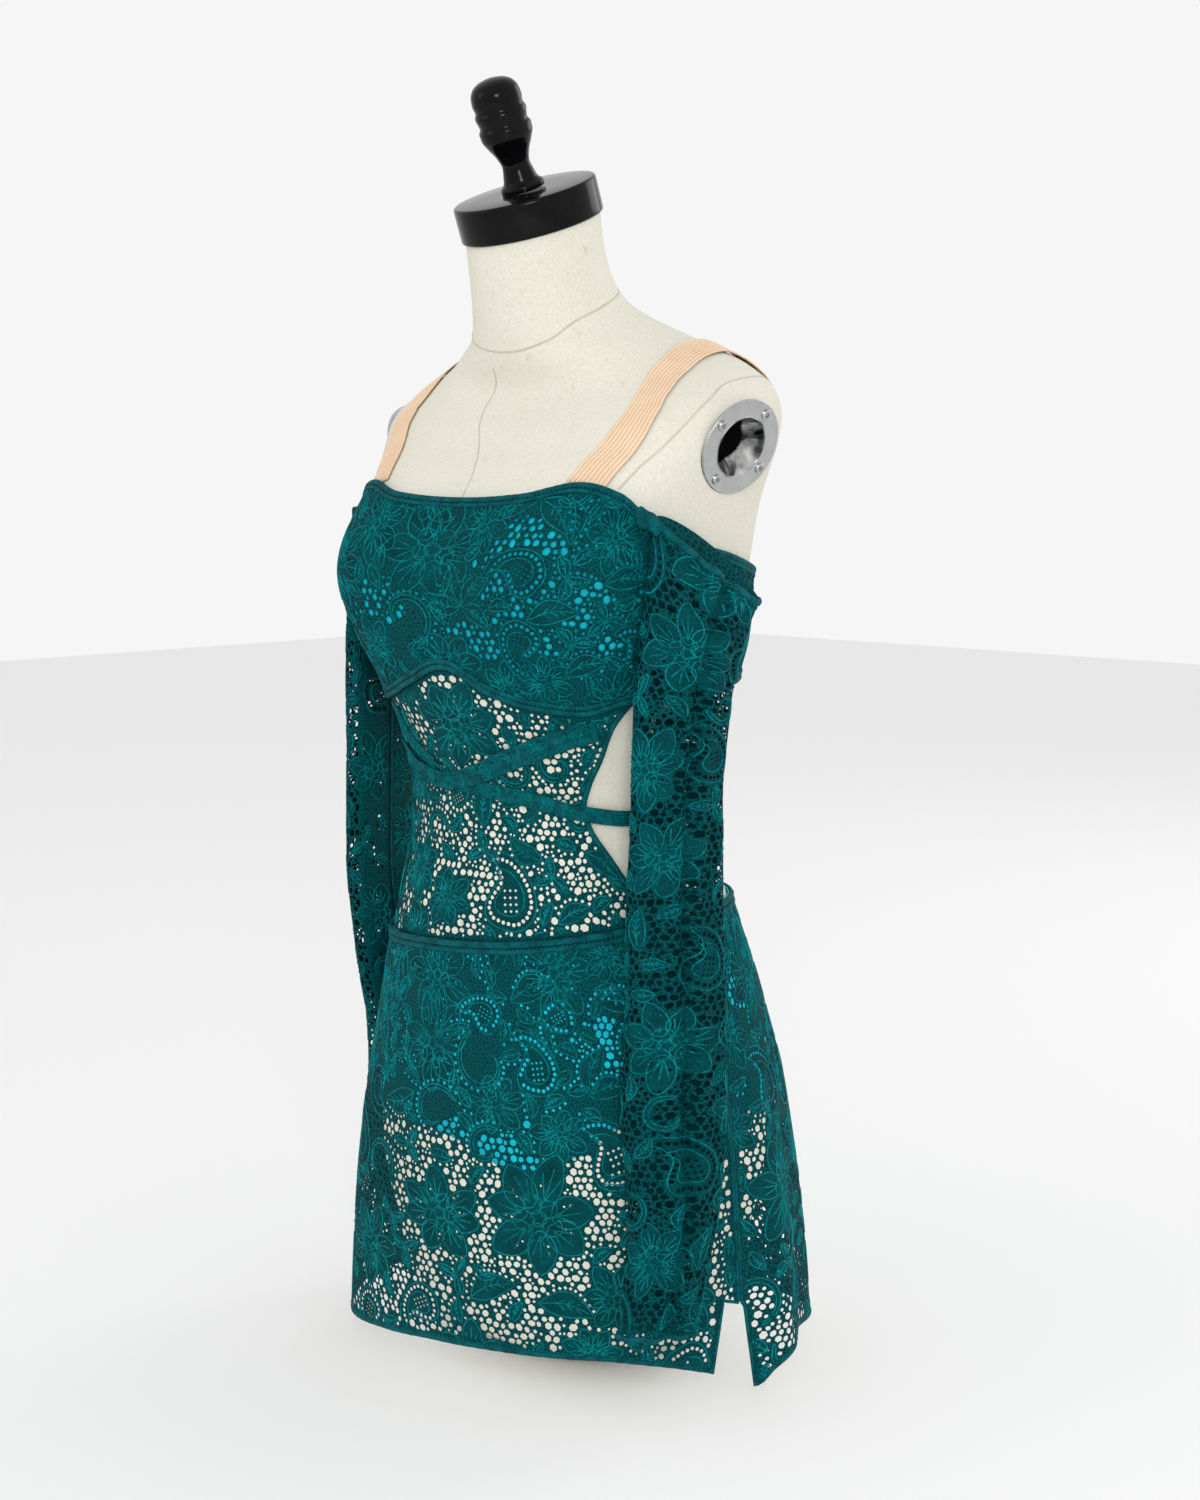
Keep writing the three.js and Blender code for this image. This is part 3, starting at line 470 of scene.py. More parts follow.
def shoulder_frame(side, along):
    """A matrix, in metres, with its z axis out of the shoulder."""
    out = Vector((side * math.cos(plate_drop), -0.06, -math.sin(plate_drop))).normalized()
    at = Vector(skin(side * 89.5, 731)) + out * along
    return Matrix.Translation(at * MM) @ out.to_track_quat("Z", "Y").to_matrix().to_4x4()


heights = np.unique(np.concatenate([np.arange(0, 60, 3), np.arange(60, 700, 9), np.arange(700, 899, 4),
                                    [899.5]]))
body = bpy.data.objects.new("form", rings_up("form", heights, 120, skin))
bpy.context.collection.objects.link(body)
cutters = []
for side in (-1, 1):
    for low, high, wide in ((-plate_seat, 40, plate_radius + 0.3), (-26, 2, socket_radius)):
        bm = bmesh.new()
        bmesh.ops.create_cone(bm, cap_ends=True, segments=72, radius1=wide * MM, radius2=wide * MM,
                              depth=(high - low) * MM, matrix=shoulder_frame(side, (high + low) / 2))
        cutters.append(bpy.data.objects.new("cutter", mesh_from(bm, "cutter")))
        bpy.context.collection.objects.link(cutters[-1])
        cut = body.modifiers.new("Seat", "BOOLEAN")
        cut.operation, cut.object, cut.solver = "DIFFERENCE", cutters[-1], "EXACT"
seated = bpy.data.meshes.new_from_object(body.evaluated_get(bpy.context.evaluated_depsgraph_get()))
for helper in (body, *cutters):
    bpy.data.objects.remove(helper)
seated.materials.clear()
finish_piece(seated, "dress_form", linen, "form_body")
seated.set_sharp_from_angle(angle=math.radians(50))
print("form faces:", len(seated.polygons))

# %% [markdown]
# A seam is a flattened roll that is swept along a path on the skin. The same sweep makes the
# gathered edges of the costume further down.

# %% The form's seams
def swept(name, middle, up, width, rise, finish, around=10, ripple=0.0, wave=5.0):
    """A flattened roll along a path. ripple makes it pucker, as gathered elastic does."""
    count, underside = len(middle), 0.35
    ahead = unit(np.gradient(middle, axis=0))
    aside = unit(np.cross(up, ahead))
    length = np.concatenate([[0], np.cumsum(np.linalg.norm(np.diff(middle, axis=0), axis=1))])
    rng = np.random.default_rng(len(name) * 7 + count)
    phase = np.cumsum(rng.normal(2 * math.pi / wave, 0.5 / wave, count) * np.gradient(length))
    swell = 1 + ripple * np.sin(phase) + ripple * 0.5 * np.sin(phase * 0.37)

    def place(u, v):
        k = np.rint(u * (count - 1)).astype(int)
        angle = v * 2 * math.pi
        out = np.sin(angle) * np.where(np.sin(angle) < 0, rise * underside, rise) * swell[k]
        side = np.cos(angle) * width / 2 * (1 + 0.3 * ripple * np.sin(phase[k] * 0.7))
        return middle[k] + aside[k] * side[:, None] + up[k] * out[:, None]
    return shaped_grid(name, (count - 1, around), place, (length[-1], width * 3), finish, closed=True)


def seam(name, rows, width=1.5, rise=0.36, count=160, lift=0.05):
    """A seam along a short list of places, each a turn and a height."""
    steps = np.linspace(0, len(rows) - 1, count)
    turn, z = (curve(range(len(rows)), column)(steps) for column in zip(*rows))
    middle = lifted(skin, turn, z, np.full(count, lift))
    swept(name, middle, normal_of(skin, turn, z), width, rise, seam_shade_linen, around=6)


seam_rows = {
    "centre_front": [
        (-10, 812), (-4, 760), (0, 704), (0, 640), (0, 540), (0, 440), (0, 340), (0, 200), (0, 60)],
    "centre_back": [(180, 812), (180, 700), (180, 560), (180, 440), (180, 340), (180, 200), (180, 60)],
    "armscye_left": [(48, 700), (52, 724), (58, 748), (68, 768), (90, 780), (118, 776)],
    "armscye_right": [(-48, 700), (-52, 724), (-58, 748), (-68, 768), (-90, 780), (-118, 776)],
    "neck_base": [
        (-180, 836), (-120, 838), (-68, 834), (-32, 828), (6, 824), (36, 828), (68, 836), (120, 838),
        (180, 836)],
}
for word, rows in seam_rows.items():
    seam(f"seam_{word}", rows)
print("seams:", len(seam_rows))

# %% [markdown]
# ## Cap, finial and arm plates
# These are turned parts, so each is one profile that is spun round its axis.

# %% Turned parts
def spun(name, profile, steps, where, finish, node=None):
    """A profile of (radius, height) in millimetres, spun a full turn."""
    bm = bmesh.new()
    verts = [bm.verts.new((radius * MM, 0, height * MM)) for radius, height in profile]
    edges = [bm.edges.new(pair) for pair in zip(verts, verts[1:])]
    bmesh.ops.spin(bm, geom=verts + edges, cent=(0, 0, 0), axis=(0, 0, 1), angle=2 * math.pi,
                   steps=steps, use_merge=True)
    bmesh.ops.remove_doubles(bm, verts=bm.verts, dist=1e-6)
    bmesh.ops.recalc_face_normals(bm, faces=bm.faces)
    bmesh.ops.transform(bm, matrix=where, verts=bm.verts)
    piece = finish_piece(mesh_from(bm, name), name, finish, node)
    piece.data.set_sharp_from_angle(angle=math.radians(40))
    return piece


def rounded(corners, radius, steps=4):
    """A profile whose corners are rounded, apart from its two ends."""
    out = [corners[0]]
    for before, corner, after in zip(corners, corners[1:], corners[2:]):
        a, b, c = (np.array(p, float) for p in (before, corner, after))
        cut = min(radius, np.linalg.norm(a - b) / 2, np.linalg.norm(c - b) / 2)
        start, end = b + unit(a - b) * cut, b + unit(c - b) * cut
        out += [tuple((1 - t) ** 2 * start + 2 * t * (1 - t) * b + t * t * end)
                for t in np.linspace(0, 1, steps)]
    return out + [corners[-1]]


neck_lean = math.radians(20)
neck_top = Vector((0, axis_y - 30.4, 899.5))
neck_up = Vector((0, -math.sin(neck_lean), math.cos(neck_lean)))


def on_neck(along, lean=0.0):
    turned = Matrix.Rotation(neck_lean + math.radians(lean), 4, "X")
    return Matrix.Translation((neck_top + neck_up * along) * MM) @ turned


cap = spun("neck_cap", rounded([(0, 0), (56.5, 0), (56.5, 28), (30, 28.4), (0, 28.4)], 2.6, 5), 96,
           on_neck(0.3),
           lacquer, "form_neck_cap")
radius_at = pairs([
    (0, 17), (3.5, 17.2), (7, 13.8), (13, 12.2), (20, 11), (28, 13.2), (36.5, 17.6), (43.5, 20.4),
    (48.5, 20.6), (52, 18.8), (55.5, 19.4), (60, 20.3), (64.5, 18.8), (69.5, 19.6), (75.5, 19),
    (81.5, 15.8), (85.5, 9), (87, 0)])
levels = np.concatenate([np.linspace(0, 80, 72), 87 - 7 * np.cos(np.linspace(0, math.pi / 2, 14))[1:]])
finial_profile = [(0, 0)] + [(float(radius_at(h)), float(h)) for h in levels]
finial = spun("finial", finial_profile, 64, on_neck(29.7, 3.5), lacquer, "form_finial")
print("cap and finial:", triangles_in(cap) + triangles_in(finial), "triangles")

# %% [markdown]
# Each arm plate is a ring with a cone that leads into the shoulder, and four screws with
# hexagonal sockets.

# %% Arm plates
def hex_screw(bm, where):
    """A screw head with a hexagonal socket: loops of points, bridged one to the next."""
    loops = []
    for sides, radius, height in ((24, 4.2, 0), (24, 4.2, 1.5), (24, 3.7, 2.0), (6, 2.3, 2.0), (6, 2.2, 0.7)):
        made = bmesh.ops.create_circle(bm, segments=sides, radius=radius * MM,
                                       matrix=where @ Matrix.Translation((0, 0, height * MM)))
        loops.append([e for e in bm.edges if all(v in made["verts"] for v in e.verts)])
    for low, high in zip(loops, loops[1:]):
        bmesh.ops.bridge_loops(bm, edges=low + high)
    bmesh.ops.contextual_create(bm, geom=loops[-1])
    bmesh.ops.contextual_create(bm, geom=loops[0])


screw_circle, screw_turn = 30.5, 12
for side, word in ((-1, "right"), (1, "left")):
    where = shoulder_frame(side, 0.6 - plate_seat)
    ring = rounded([(23.5, -1.5), (24, 3), (plate_radius, 3), (plate_radius, 0), (24.2, 0)], 0.9)
    spun(f"arm_plate_{word}", ring + ring[:1], 96, where, metal, f"form_arm_plate_{word}")
    cone = rounded([(24.4, 2.6), (23.2, 3.1), (14.5, -14), (13.6, -14)], 1.2)
    spun(f"arm_cone_{word}", cone, 96, where, chrome)
    spun(f"arm_hole_{word}", [(0, -13.4), (15.2, -13.4), (14.6, -12.6)], 48, where, hollow)
    bm = bmesh.new()
    for quarter in range(4):
        around = math.radians(45 + 90 * quarter + screw_turn)
        spot = Vector((screw_circle * math.cos(around), screw_circle * math.sin(around), 2.4)) * MM
        hex_screw(bm, where @ Matrix.Translation(spot))
    bmesh.ops.recalc_face_normals(bm, faces=bm.faces)
    mesh = mesh_from(bm, f"arm_screws_{word}")
    finish_piece(mesh, mesh.name, metal)
    mesh.set_sharp_from_angle(angle=math.radians(35))
print("arm plates: 2, screws:", 8)

# %% [markdown]
# ## Where each piece of cloth begins and ends
# The pattern of the costume is a handful of edges, each a height at every turn round the body.

# %% Edges of the pieces
bodice_top = pairs([
    (-180, 630), (-150, 632), (-120, 640), (-90, 656), (-62, 680), (-50, 696), (-35, 703), (-18, 694),
    (0, 691), (18, 694), (35, 703), (50, 696), (62, 680), (90, 656), (120, 640), (150, 632), (180, 630)])
bodice_foot = pairs([
    (-180, 556), (-120, 552), (-90, 547), (-62, 542), (-45, 533), (-30, 538), (-14, 551), (0, 564),
    (14, 548), (28, 538), (45, 534), (62, 543), (90, 547), (120, 552), (180, 556)])
hip_seam = pairs([
    (-180, 378), (-130, 368), (-90, 352), (-50, 341), (-12, 347), (20, 355), (46, 364), (70, 372),
    (126, 380), (180, 378)])
brief_foot = pairs([
    (-180, 186), (-150, 196), (-112, 215), (-60, 222), (-34, 203), (0, 197), (14, 185), (25, 170),
    (36, 190), (56, 222), (112, 215), (150, 196), (180, 186)])
skirt_hem = pairs([
    (-180, 14), (-130, 16), (-92, 22), (-60, 18), (-45, 18), (-20, 26), (0, 35), (22, 41), (45, 43),
    (65, 37), (80, 28), (88, 18), (93.6, 10), (98, 22), (104, 31), (112, 35), (120, 31), (130, 26),
    (148, 20), (180, 14)])
cutout = pairs([
    (340, 75), (372, 66), (388, 62), (412, 56), (444, 48), (462, 46), (482, 48), (502, 52), (526, 56),
    (548, 64)])
flare_by_turn = pairs([
    (-180, 28), (-135, 33), (-90, 20), (-60, 23), (-45, 24), (-20, 15), (0, 12), (45, 12), (75, 17),
    (90, 22), (104, 34), (135, 31), (180, 28)])
flare_by_height = pairs([(0, 1.05), (25, 1), (107, 0.76), (144, 0.62), (209, 0.32), (269, 0.06), (300, 0)])
skirt_folds = [
    (-160, 10, 5), (-138, 10, -4), (-116, 10, 6), (-96, 8, -5), (-74, 10, 4), (64, 10, -3), (102, 7, 7),
    (118, 9, -5), (140, 11, 5), (164, 12, -4)]


def skirt_place(turn, z, by):
    """A lifted place on the skirt: the lift is the body's own, and the flare is added to it."""
    at = wrapped(turn)
    folded = sum(depth * bell(at - middle, width) for middle, width, depth in skirt_folds)
    out = (flare_by_turn(at) + folded) * flare_by_height(z)
    base = lifted(skin, turn, np.maximum(z, 180), by)
    return np.stack([base[..., 0] + out * np.sin(np.radians(turn)),
                     base[..., 1] - out * np.cos(np.radians(turn)),
                     np.broadcast_to(z, np.shape(out))], -1)


def body_place(turn, z, by):
    return lifted(skin, turn, z, by)


def vent(turn, way, top, lean, foot):
    """A side edge of the skirt. It leaves the side line below the vent's top."""
    def edge(v):
        z = 20 + 346 * v
        return turn + way * np.where(z >= top, 0.02, lean + (foot - lean) * (top - z) / top)
    return edge


def panel(low, high, left, right, place, ease, per_degree, lift):
    """A piece of cloth: its edges in turns and heights, and how it sits on the body."""
    def spot(x, y, more=0.0):
        turn = x / per_degree
        share = np.clip((y - low(wrapped(turn))) / (high(wrapped(turn)) - low(wrapped(turn))), 0, 1)
        return place(turn, y, lift + ease * np.sin(np.pi * share) + more)

    def clear(x, y, margin):
        """Which places of the flat pattern are on the cloth, at least margin from its edges."""
        turn = x / per_degree
        bottom, top = low(wrapped(turn)), high(wrapped(turn))
        share = np.clip((y - bottom) / (top - bottom), 0, 1)
        return ((y > bottom + margin) & (y < top - margin) & (x > left(share) * per_degree + margin)
                & (x < right(share) * per_degree - margin))

    def edge(u, v):
        turn = left(v) + (right(v) - left(v)) * u
        bottom, top = low(wrapped(turn)), high(wrapped(turn))
        return np.stack([turn * per_degree, bottom + (top - bottom) * v], -1)
    return {"spot": spot, "clear": clear, "edge": edge, "per": per_degree}


def fixed(value):
    return lambda v: np.full(np.shape(v), float(value))


panels = {
    "bodice_front": panel(bodice_foot, bodice_top, fixed(-89.98), fixed(89.98), body_place, 2.2, 2.55,
                          lace_out),
    "bodice_back": panel(bodice_foot, bodice_top, fixed(90.02), fixed(269.98), body_place, 2.2, 2.45,
                         lace_out),
    "midriff": panel(lambda t: hip_seam(t) + 0.8, lambda t: bodice_foot(t) - 0.8,
                     lambda v: -cutout(352 + 193 * v), lambda v: cutout(352 + 193 * v),
                     body_place, 0.5, 2.2, lining_out),
    "skirt_front": panel(skirt_hem, hip_seam, vent(-90, 1, 60, 0.6, 4), vent(90, -1, 81, 5, 10.5),
                         skirt_place, 2.4, 2.75, lace_out),
    "skirt_back": panel(skirt_hem, hip_seam, vent(90, 1, 81, 0.8, 3.6), vent(270, -1, 60, 0.6, 4),
                        skirt_place, 2.4, 2.9, lace_out),
}
print("panels:", ", ".join(panels))

# %% [markdown]
# ## Sleeves as flat cloth too
# A limp sleeve is a flattened tube with one deep fold. Its pattern is a turn round the tube and
# a height, so it can be covered by the same lace as the body.

# %% Sleeve surface
sleeve_names = ["z", "x", "y", "heading", "half", "thick", "slope"]
sleeve_paths = {
    "left": columns(sleeve_names, [
        (68, 178, -78, 38, 30, 13.5, 0), (100, 180, -73, 35, 31, 14, 0), (157, 182, -63, 30, 35, 15, 0),
        (236, 178, -58, 30, 41, 15, 0), (313, 171, -48, 26, 40, 15, 0), (398, 168, -45, 18, 40, 15, 0),
        (467, 167, -42, 14, 39, 15, 0.03), (543, 173, -42, 12, 42, 15, 0.12),
        (603, 178.4, -35, 11, 44, 14.5, 0.38),
        (648, 178.4, -18, 10, 47, 12.5, 0.63)]),
    "right": columns(sleeve_names, [
        (62, 204, 6, -2, 30, 12.5, 0), (100, 204, 4, -2, 31, 13, 0), (157, 201, 0, 0, 35, 14, 0),
        (236, 193, -8, 6, 38, 15, 0), (313, 185, -29, 10, 39, 15, 0), (398, 180, -42, 12, 40, 15, 0),
        (467, 177, -43, 12, 40, 15, 0.03), (543, 176, -42, 12, 43, 15, 0.12),
        (603, 178.4, -35, 11, 44, 14.5, 0.38),
        (648, 178.4, -18, 10, 47, 12.5, 0.63)]),
}
sleeve_ends = {"left": (68, 648), "right": (62, 648)}
sleeve_per_degree, mouth_rise, mouth_dip = 0.47, 14, 11


def sleeve_place(word, around, level, inset=0.0):
    """A place on a sleeve: 0 is its front end, 90 its outer face, 270 the face by the body."""
    at, side = sleeve_paths[word], (1 if word == "left" else -1)
    foot, top = sleeve_ends[word]
    around, level = np.broadcast_arrays(np.asarray(around, float), np.asarray(level, float))
    c, s = np.cos(np.radians(around)), np.sin(np.radians(around))
    share = (level - foot) / (top - foot)
    along = (at["half"](level) - inset) * c
    drift_in = 4 + 3 * np.sin(level / 90)
    deep, front = 9.5 * bell(along + drift_in, 6), 3.2 * bell(along - 17 + 5 * np.sin(level / 70), 5)
    back = 2.6 * bell(along + 26 - 4 * np.sin(level / 60 + 1), 5)
    fold = np.where(s > 0, (deep + front + back) * np.minimum(s * 2, 1), 0)
    out = (at["thick"](level) - inset) * np.sign(s) * np.abs(s) ** 0.75 - 0.0034 * along**2 - fold
    heading = np.radians(at["heading"](level))
    lip = -s * np.where(s < 0, mouth_rise, mouth_dip) * np.maximum(0, share * 6 - 5)
    return np.stack([side * (at["x"](level) - np.sin(heading) * along + np.cos(heading) * out),
                     axis_y + at["y"](level) - np.cos(heading) * along - np.sin(heading) * out,
                     level + at["slope"](level) * along + lip], -1)


def sleeve_panel(word):
    side = 1 if word == "left" else -1

    def spot(x, y, more=0.0):
        return sleeve_place(word, side * x / sleeve_per_degree, y, -np.asarray(more, float))

    foot, top = sleeve_ends[word]
    reach = 360 * sleeve_per_degree
    start = -90 * sleeve_per_degree if side > 0 else -270 * sleeve_per_degree

    def clear(x, y, margin):
        return (y > foot + margin) & (y < top - margin) & (x > start + margin) & (x < start + reach - margin)

    def edge(u, v):
        return np.stack([start + reach * u, foot + (top - foot) * v], -1)
    return {"spot": spot, "clear": clear, "edge": edge, "per": sleeve_per_degree}


panels["sleeve_left"], panels["sleeve_right"] = sleeve_panel("left"), sleeve_panel("right")
print("sleeve length in mm:", 648 - 68)

# %% [markdown]
# ## Drawing lace
# Corded lace has three parts: closed petals, leaves and scrolls of dense cloth; a raised cord
# round each of them; and a net of rounded holes in the fields between. Each motif is drawn flat,
# in millimetres. Rows of small holes, like beads, follow the outlines.

# %% Motifs
def put(points, x, y, angle=0.0, scale=1.0):
    a = math.radians(angle)
    turn = np.array([[math.cos(a), math.sin(a)], [-math.sin(a), math.cos(a)]])
    return np.asarray(points, float) * scale @ turn + (x, y)


def petal(start, length, width, blunt=0.62, bend=0.0, count=11):
    """A petal that grows along x: pointed where it starts and round or pointed at its tip."""
    t = np.linspace(0, 1, count)
    half = width / 2 * np.sin(np.pi * t**0.85) ** blunt
    middle = bend * length * np.sin(np.pi * t)
    top = np.stack([start + length * t, middle + half], -1)
    low = np.stack([start + length * t, middle - half], -1)
    return np.concatenate([low, top[-2:0:-1]])


def flower(x, y, size, angle, count=7, rng=None):
    """An open flower: broad petals with fanned veins, and small ones round a ringed middle."""
    rng = rng or random.Random(1)
    solids, cords, beads = [], [], []
    ring = put(petal(-0.07, 0.14, 0.14, 0.5, count=7), x, y, 0, size)
    for layer, (number, start, reach, wide) in enumerate(((count, 0.10, 0.42, 1.75), (5, 0.04, 0.17, 0.85))):
        for k in range(number):
            way = angle + 360 / number * k + rng.uniform(-9, 9) + 25 * layer
            long = reach * rng.uniform(0.80, 1.15)
            broad = wide / number * rng.uniform(0.9, 1.15)
            shape = put(petal(start, long, broad, 0.66, rng.uniform(-0.05, 0.05)), x, y, way, size)
            solids.append(shape)
            cords.append((shape, True))
            if layer:
                continue
            for fan in (-0.28, 0.0, 0.28):
                far = start + long * (0.72 - abs(fan) * 0.5)
                cords.append((put([(start + 0.05, 0), (far, fan * broad * 1.1)], x, y, way, size), False))
            for bead in (0.35, 0.5):
                beads.append((put([(start + long * bead, broad * 0.26)], x, y, way, size)[0], 1.15))
    cords.append((ring, True))
    return solids + [ring], cords, beads if size > 60 else []


def leaf(x, y, size, angle, bend=0.12):
    """A pointed leaf with a midrib and side veins, and beads along one side."""
    shape = petal(0, 1, 0.46, 1.05, bend, 13)
    t = np.linspace(0.04, 0.9, 7)
    rib = np.stack([t, bend * np.sin(np.pi * t)], -1)
    cords = [(put(shape, x, y, angle, size), True), (put(rib, x, y, angle, size), False)]
    for k in (2, 3, 4):
        for side in (-1, 1):
            end = rib[k] + (0.13, side * 0.10)
            cords.append((put([rib[k], end], x, y, angle, size), False))
    t = np.linspace(0.12, 0.95, max(3, int(size / 4.2)))
    row = np.stack([t, bend * np.sin(np.pi * t) + 0.23 * np.sin(np.pi * t**0.85) ** 1.05], -1)
    line = put(row, x, y, angle, size)
    out = put([(0, 1)], 0, 0, angle)[0]
    return [put(shape, x, y, angle, size)], cords, [(p + out * 2.6, 1.5) for p in line]


def comma(swell=1.0, count=34):
    """The outline of a paisley: a round body whose tail curls over."""
    keys = np.array([(0, 0), (0.22, -0.05), (0.40, 0.06), (0.50, 0.26), (0.47, 0.50), (0.34, 0.74),
                     (0.16, 0.92),
                     (-0.06, 1.0), (-0.26, 0.96), (-0.10, 0.86), (0.0, 0.72), (-0.02, 0.58), (-0.14, 0.44),
                     (-0.24, 0.26), (-0.18, 0.08)])
    closed = np.concatenate([keys, keys[:1]])
    k = np.linspace(0, len(keys), count, endpoint=False)
    line = np.stack([np.interp(k, range(len(closed)), closed[:, i]) for i in (0, 1)], -1)
    smooth = (np.roll(line, 1, 0) + 2 * line + np.roll(line, -1, 0)) / 4
    middle = np.array((0.12, 0.42))
    return (smooth - middle) * swell + middle - (0.12, 0.45)


def paisley(x, y, size, angle):
    """A paisley: a row of beads between two outlines, and a small net inside."""
    bead_pitch, bead_radius = 4.2, 1.65
    outer, inner, track = (put(outline, x, y, angle, size)
                           for outline in (comma(), comma(0.58), comma(0.80, 80)))
    track = np.concatenate([track, track[:1]])
    along = np.concatenate([[0], np.cumsum(np.linalg.norm(np.diff(track, axis=0), axis=1))])
    stops = np.linspace(0, along[-1], int(along[-1] / bead_pitch), endpoint=False)
    beads = [(np.array([np.interp(stop, along, track[:, i]) for i in (0, 1)]), bead_radius) for stop in stops]
    for u in (-1, 0, 1):
        for v in (-1.5, -0.5, 0.5, 1.5):
            spot = put([(0.02 + u * 0.075, -0.10 + v * 0.085)], x, y, angle, size)[0]
            beads.append((spot, min(1.3, size * 0.024)))
    return [outer], [(outer, True), (inner, True)], beads


def scroll(x, y, size, angle, turns=0.8, width=3.4):
    """A curling stem: a strip between two cords, with beads along its outer side."""
    t = np.linspace(0, 1, 22)
    reach, way = 0.5 * (1 - 0.62 * t), 2 * math.pi * turns * t
    spine = np.stack([reach * np.cos(way), reach * np.sin(way)], -1) * size
    ahead = unit(np.gradient(spine, axis=0))
    aside = np.stack([-ahead[:, 1], ahead[:, 0]], -1)
    wide = width * np.sin(np.pi * np.clip(t + 0.08, 0, 1)) ** 0.5
    left, right = spine + aside * wide[:, None] / 2, spine - aside * wide[:, None] / 2
    shape = np.concatenate([right, left[::-1]])
    beads = [(p - a * (width / 2 + 2.6), 1.55) for p, a in zip(spine[1:-4], aside[1:-4])]
    kept, last = [], None
    for spot, radius in beads:
        if last is None or np.linalg.norm(spot - last) > 4.0:
            kept.append((put([spot], x, y, angle)[0], radius))
            last = spot
    return [put(shape, x, y, angle)], [(put(shape, x, y, angle), True)], kept


kinds = {"flower": flower, "leaf": leaf, "paisley": paisley, "scroll": scroll}
print("motif kinds:", ", ".join(kinds))

# %% [markdown]
# A panel is filled in three steps: the listed motifs, smaller ones wherever there is room, and then the
# holes. A flat lattice of places gives the net its rows.

# %% Filling a panel with motifs
# For each size of small motif: its radius, how often it is tried, its kinds, and its scale.
motif_sizes = (
    (30, 60, ["flower", "flower", "paisley"], 2.05), (22, 160, ["flower", "scroll", "paisley"], 2.0),
    (15, 400, ["leaf", "leaf", "scroll"], 2.0), (9.5, 1100, None, 2.1))


def flat_box(cloth_panel, count):
    """The lowest and the highest corner of a panel's flat pattern."""
    shares = np.linspace(0, 1, count)
    corners = cloth_panel["edge"](np.tile(shares, count), np.repeat(shares, count))
    return corners.min(0), corners.max(0)


def scatter(cloth_panel, placed, seed, netted, crowd):
    """The placed motifs, then smaller ones in the room that is left. They crowd where there is no net."""
    rng = random.Random(seed)
    low, high = flat_box(cloth_panel, 41)
    solids, cords, beads, discs = [], [], [], []

    def lay(kind, x, y, size, angle, **more):
        for store, made in zip((solids, cords, beads), kinds[kind](x, y, size, angle, **more)):
            store.extend(made)

    for kind, turn, z, size, angle in placed:
        x, a = turn * cloth_panel["per"], math.radians(angle)
        if kind == "flower":
            lay(kind, x, z, size, angle, rng=rng)
            discs.append((x, z, size * 0.46))
            continue
        lay(kind, x, z, size, angle)
        if kind == "leaf":
            discs += [(x + size * s * math.cos(a), z + size * s * math.sin(a), size * 0.20)
                      for s in (0.25, 0.7)]
        else:
            discs.append((x, z, size * 0.42))
    for radius, tries, choice, scale in motif_sizes:
        for _ in range(tries):
            x, y = rng.uniform(low[0], high[0]), rng.uniform(low[1], high[1])
            if not cloth_panel["clear"](np.array([x]), np.array([y]), -radius * 0.4)[0]:
                continue
            room = 0.93 if netted is None or netted(np.array([x]), np.array([y]))[0] else crowd
            if any((x - a) ** 2 + (y - b) ** 2 < ((radius + c) * room) ** 2 for a, b, c in discs):
                continue
            discs.append((x, y, radius))
            angle = rng.uniform(0, 360)
            kind = rng.choice(choice) if choice else "vein"
            if kind == "leaf":
                for extra in (0, 100, 220):
                    lay("leaf", x, y, radius * 1.15, angle + extra, bend=rng.uniform(-0.16, 0.16))
            elif kind == "vein":
                a = math.radians(angle)
                lay("leaf", x - radius * math.cos(a), y - radius * math.sin(a), radius * scale, angle,
                    bend=rng.uniform(-0.2, 0.2))
            else:
                lay(kind, x, y, radius * scale, angle)
    return solids, cords, beads


def depth_in(points, solids):
    """How far each flat place is inside the nearest outline: positive inside, negative outside."""
    best = np.full(len(points), -1e3)
    for shape in solids:
        low, high = shape.min(0) - 9, shape.max(0) + 9
        near = np.flatnonzero(((points > low) & (points < high)).all(1))
        if not len(near):
            continue
        p = points[near][:, None, :]
        a, b = shape[None], np.roll(shape, -1, 0)[None]
        along = np.clip(((p - a) * (b - a)).sum(2) / np.maximum(((b - a) ** 2).sum(2), 1e-9), 0, 1)
        away = np.sqrt((((p - a) - along[..., None] * (b - a)) ** 2).sum(2)).min(1)
        run, climb = b[..., 0] - a[..., 0], b[..., 1] - a[..., 1]
        meets = run * (p[..., 1] - a[..., 1]) / np.where(climb == 0, 1e-9, climb) + a[..., 0]
        crosses = ((a[..., 1] > p[..., 1]) != (b[..., 1] > p[..., 1])) & (p[..., 0] < meets)
        inside = crosses.sum(1) % 2 == 1
        best[near] = np.maximum(best[near], np.where(inside, away, -away))
    return best


def lattice(cloth_panel, pitch, seed, wobble, margin):
    """Flat places in rows, every other row shifted by half, each moved a little."""
    rng = np.random.default_rng(seed)
    low, high = flat_box(cloth_panel, 61)
    xs, ys = np.arange(low[0], high[0], pitch), np.arange(low[1], high[1], pitch * 0.87)
    x, y = np.meshgrid(xs, ys)
    x = x + (np.arange(len(ys)) % 2)[:, None] * pitch / 2
    points = np.stack([x.ravel(), y.ravel()], -1) + rng.uniform(-wobble, wobble, (x.size, 2))
    return points[cloth_panel["clear"](points[:, 0], points[:, 1], margin)]


# %% [markdown]
# The beads are cut first, then the large holes of the net, then small ones that fill what is
# left. A coarse grid of boxes remembers the holes, so that a bar of thread stays between them.

# %% Where the holes go
net_pitch, fill_pitch, lace_wall, box = 6.3, 8.5, 0.5, 6


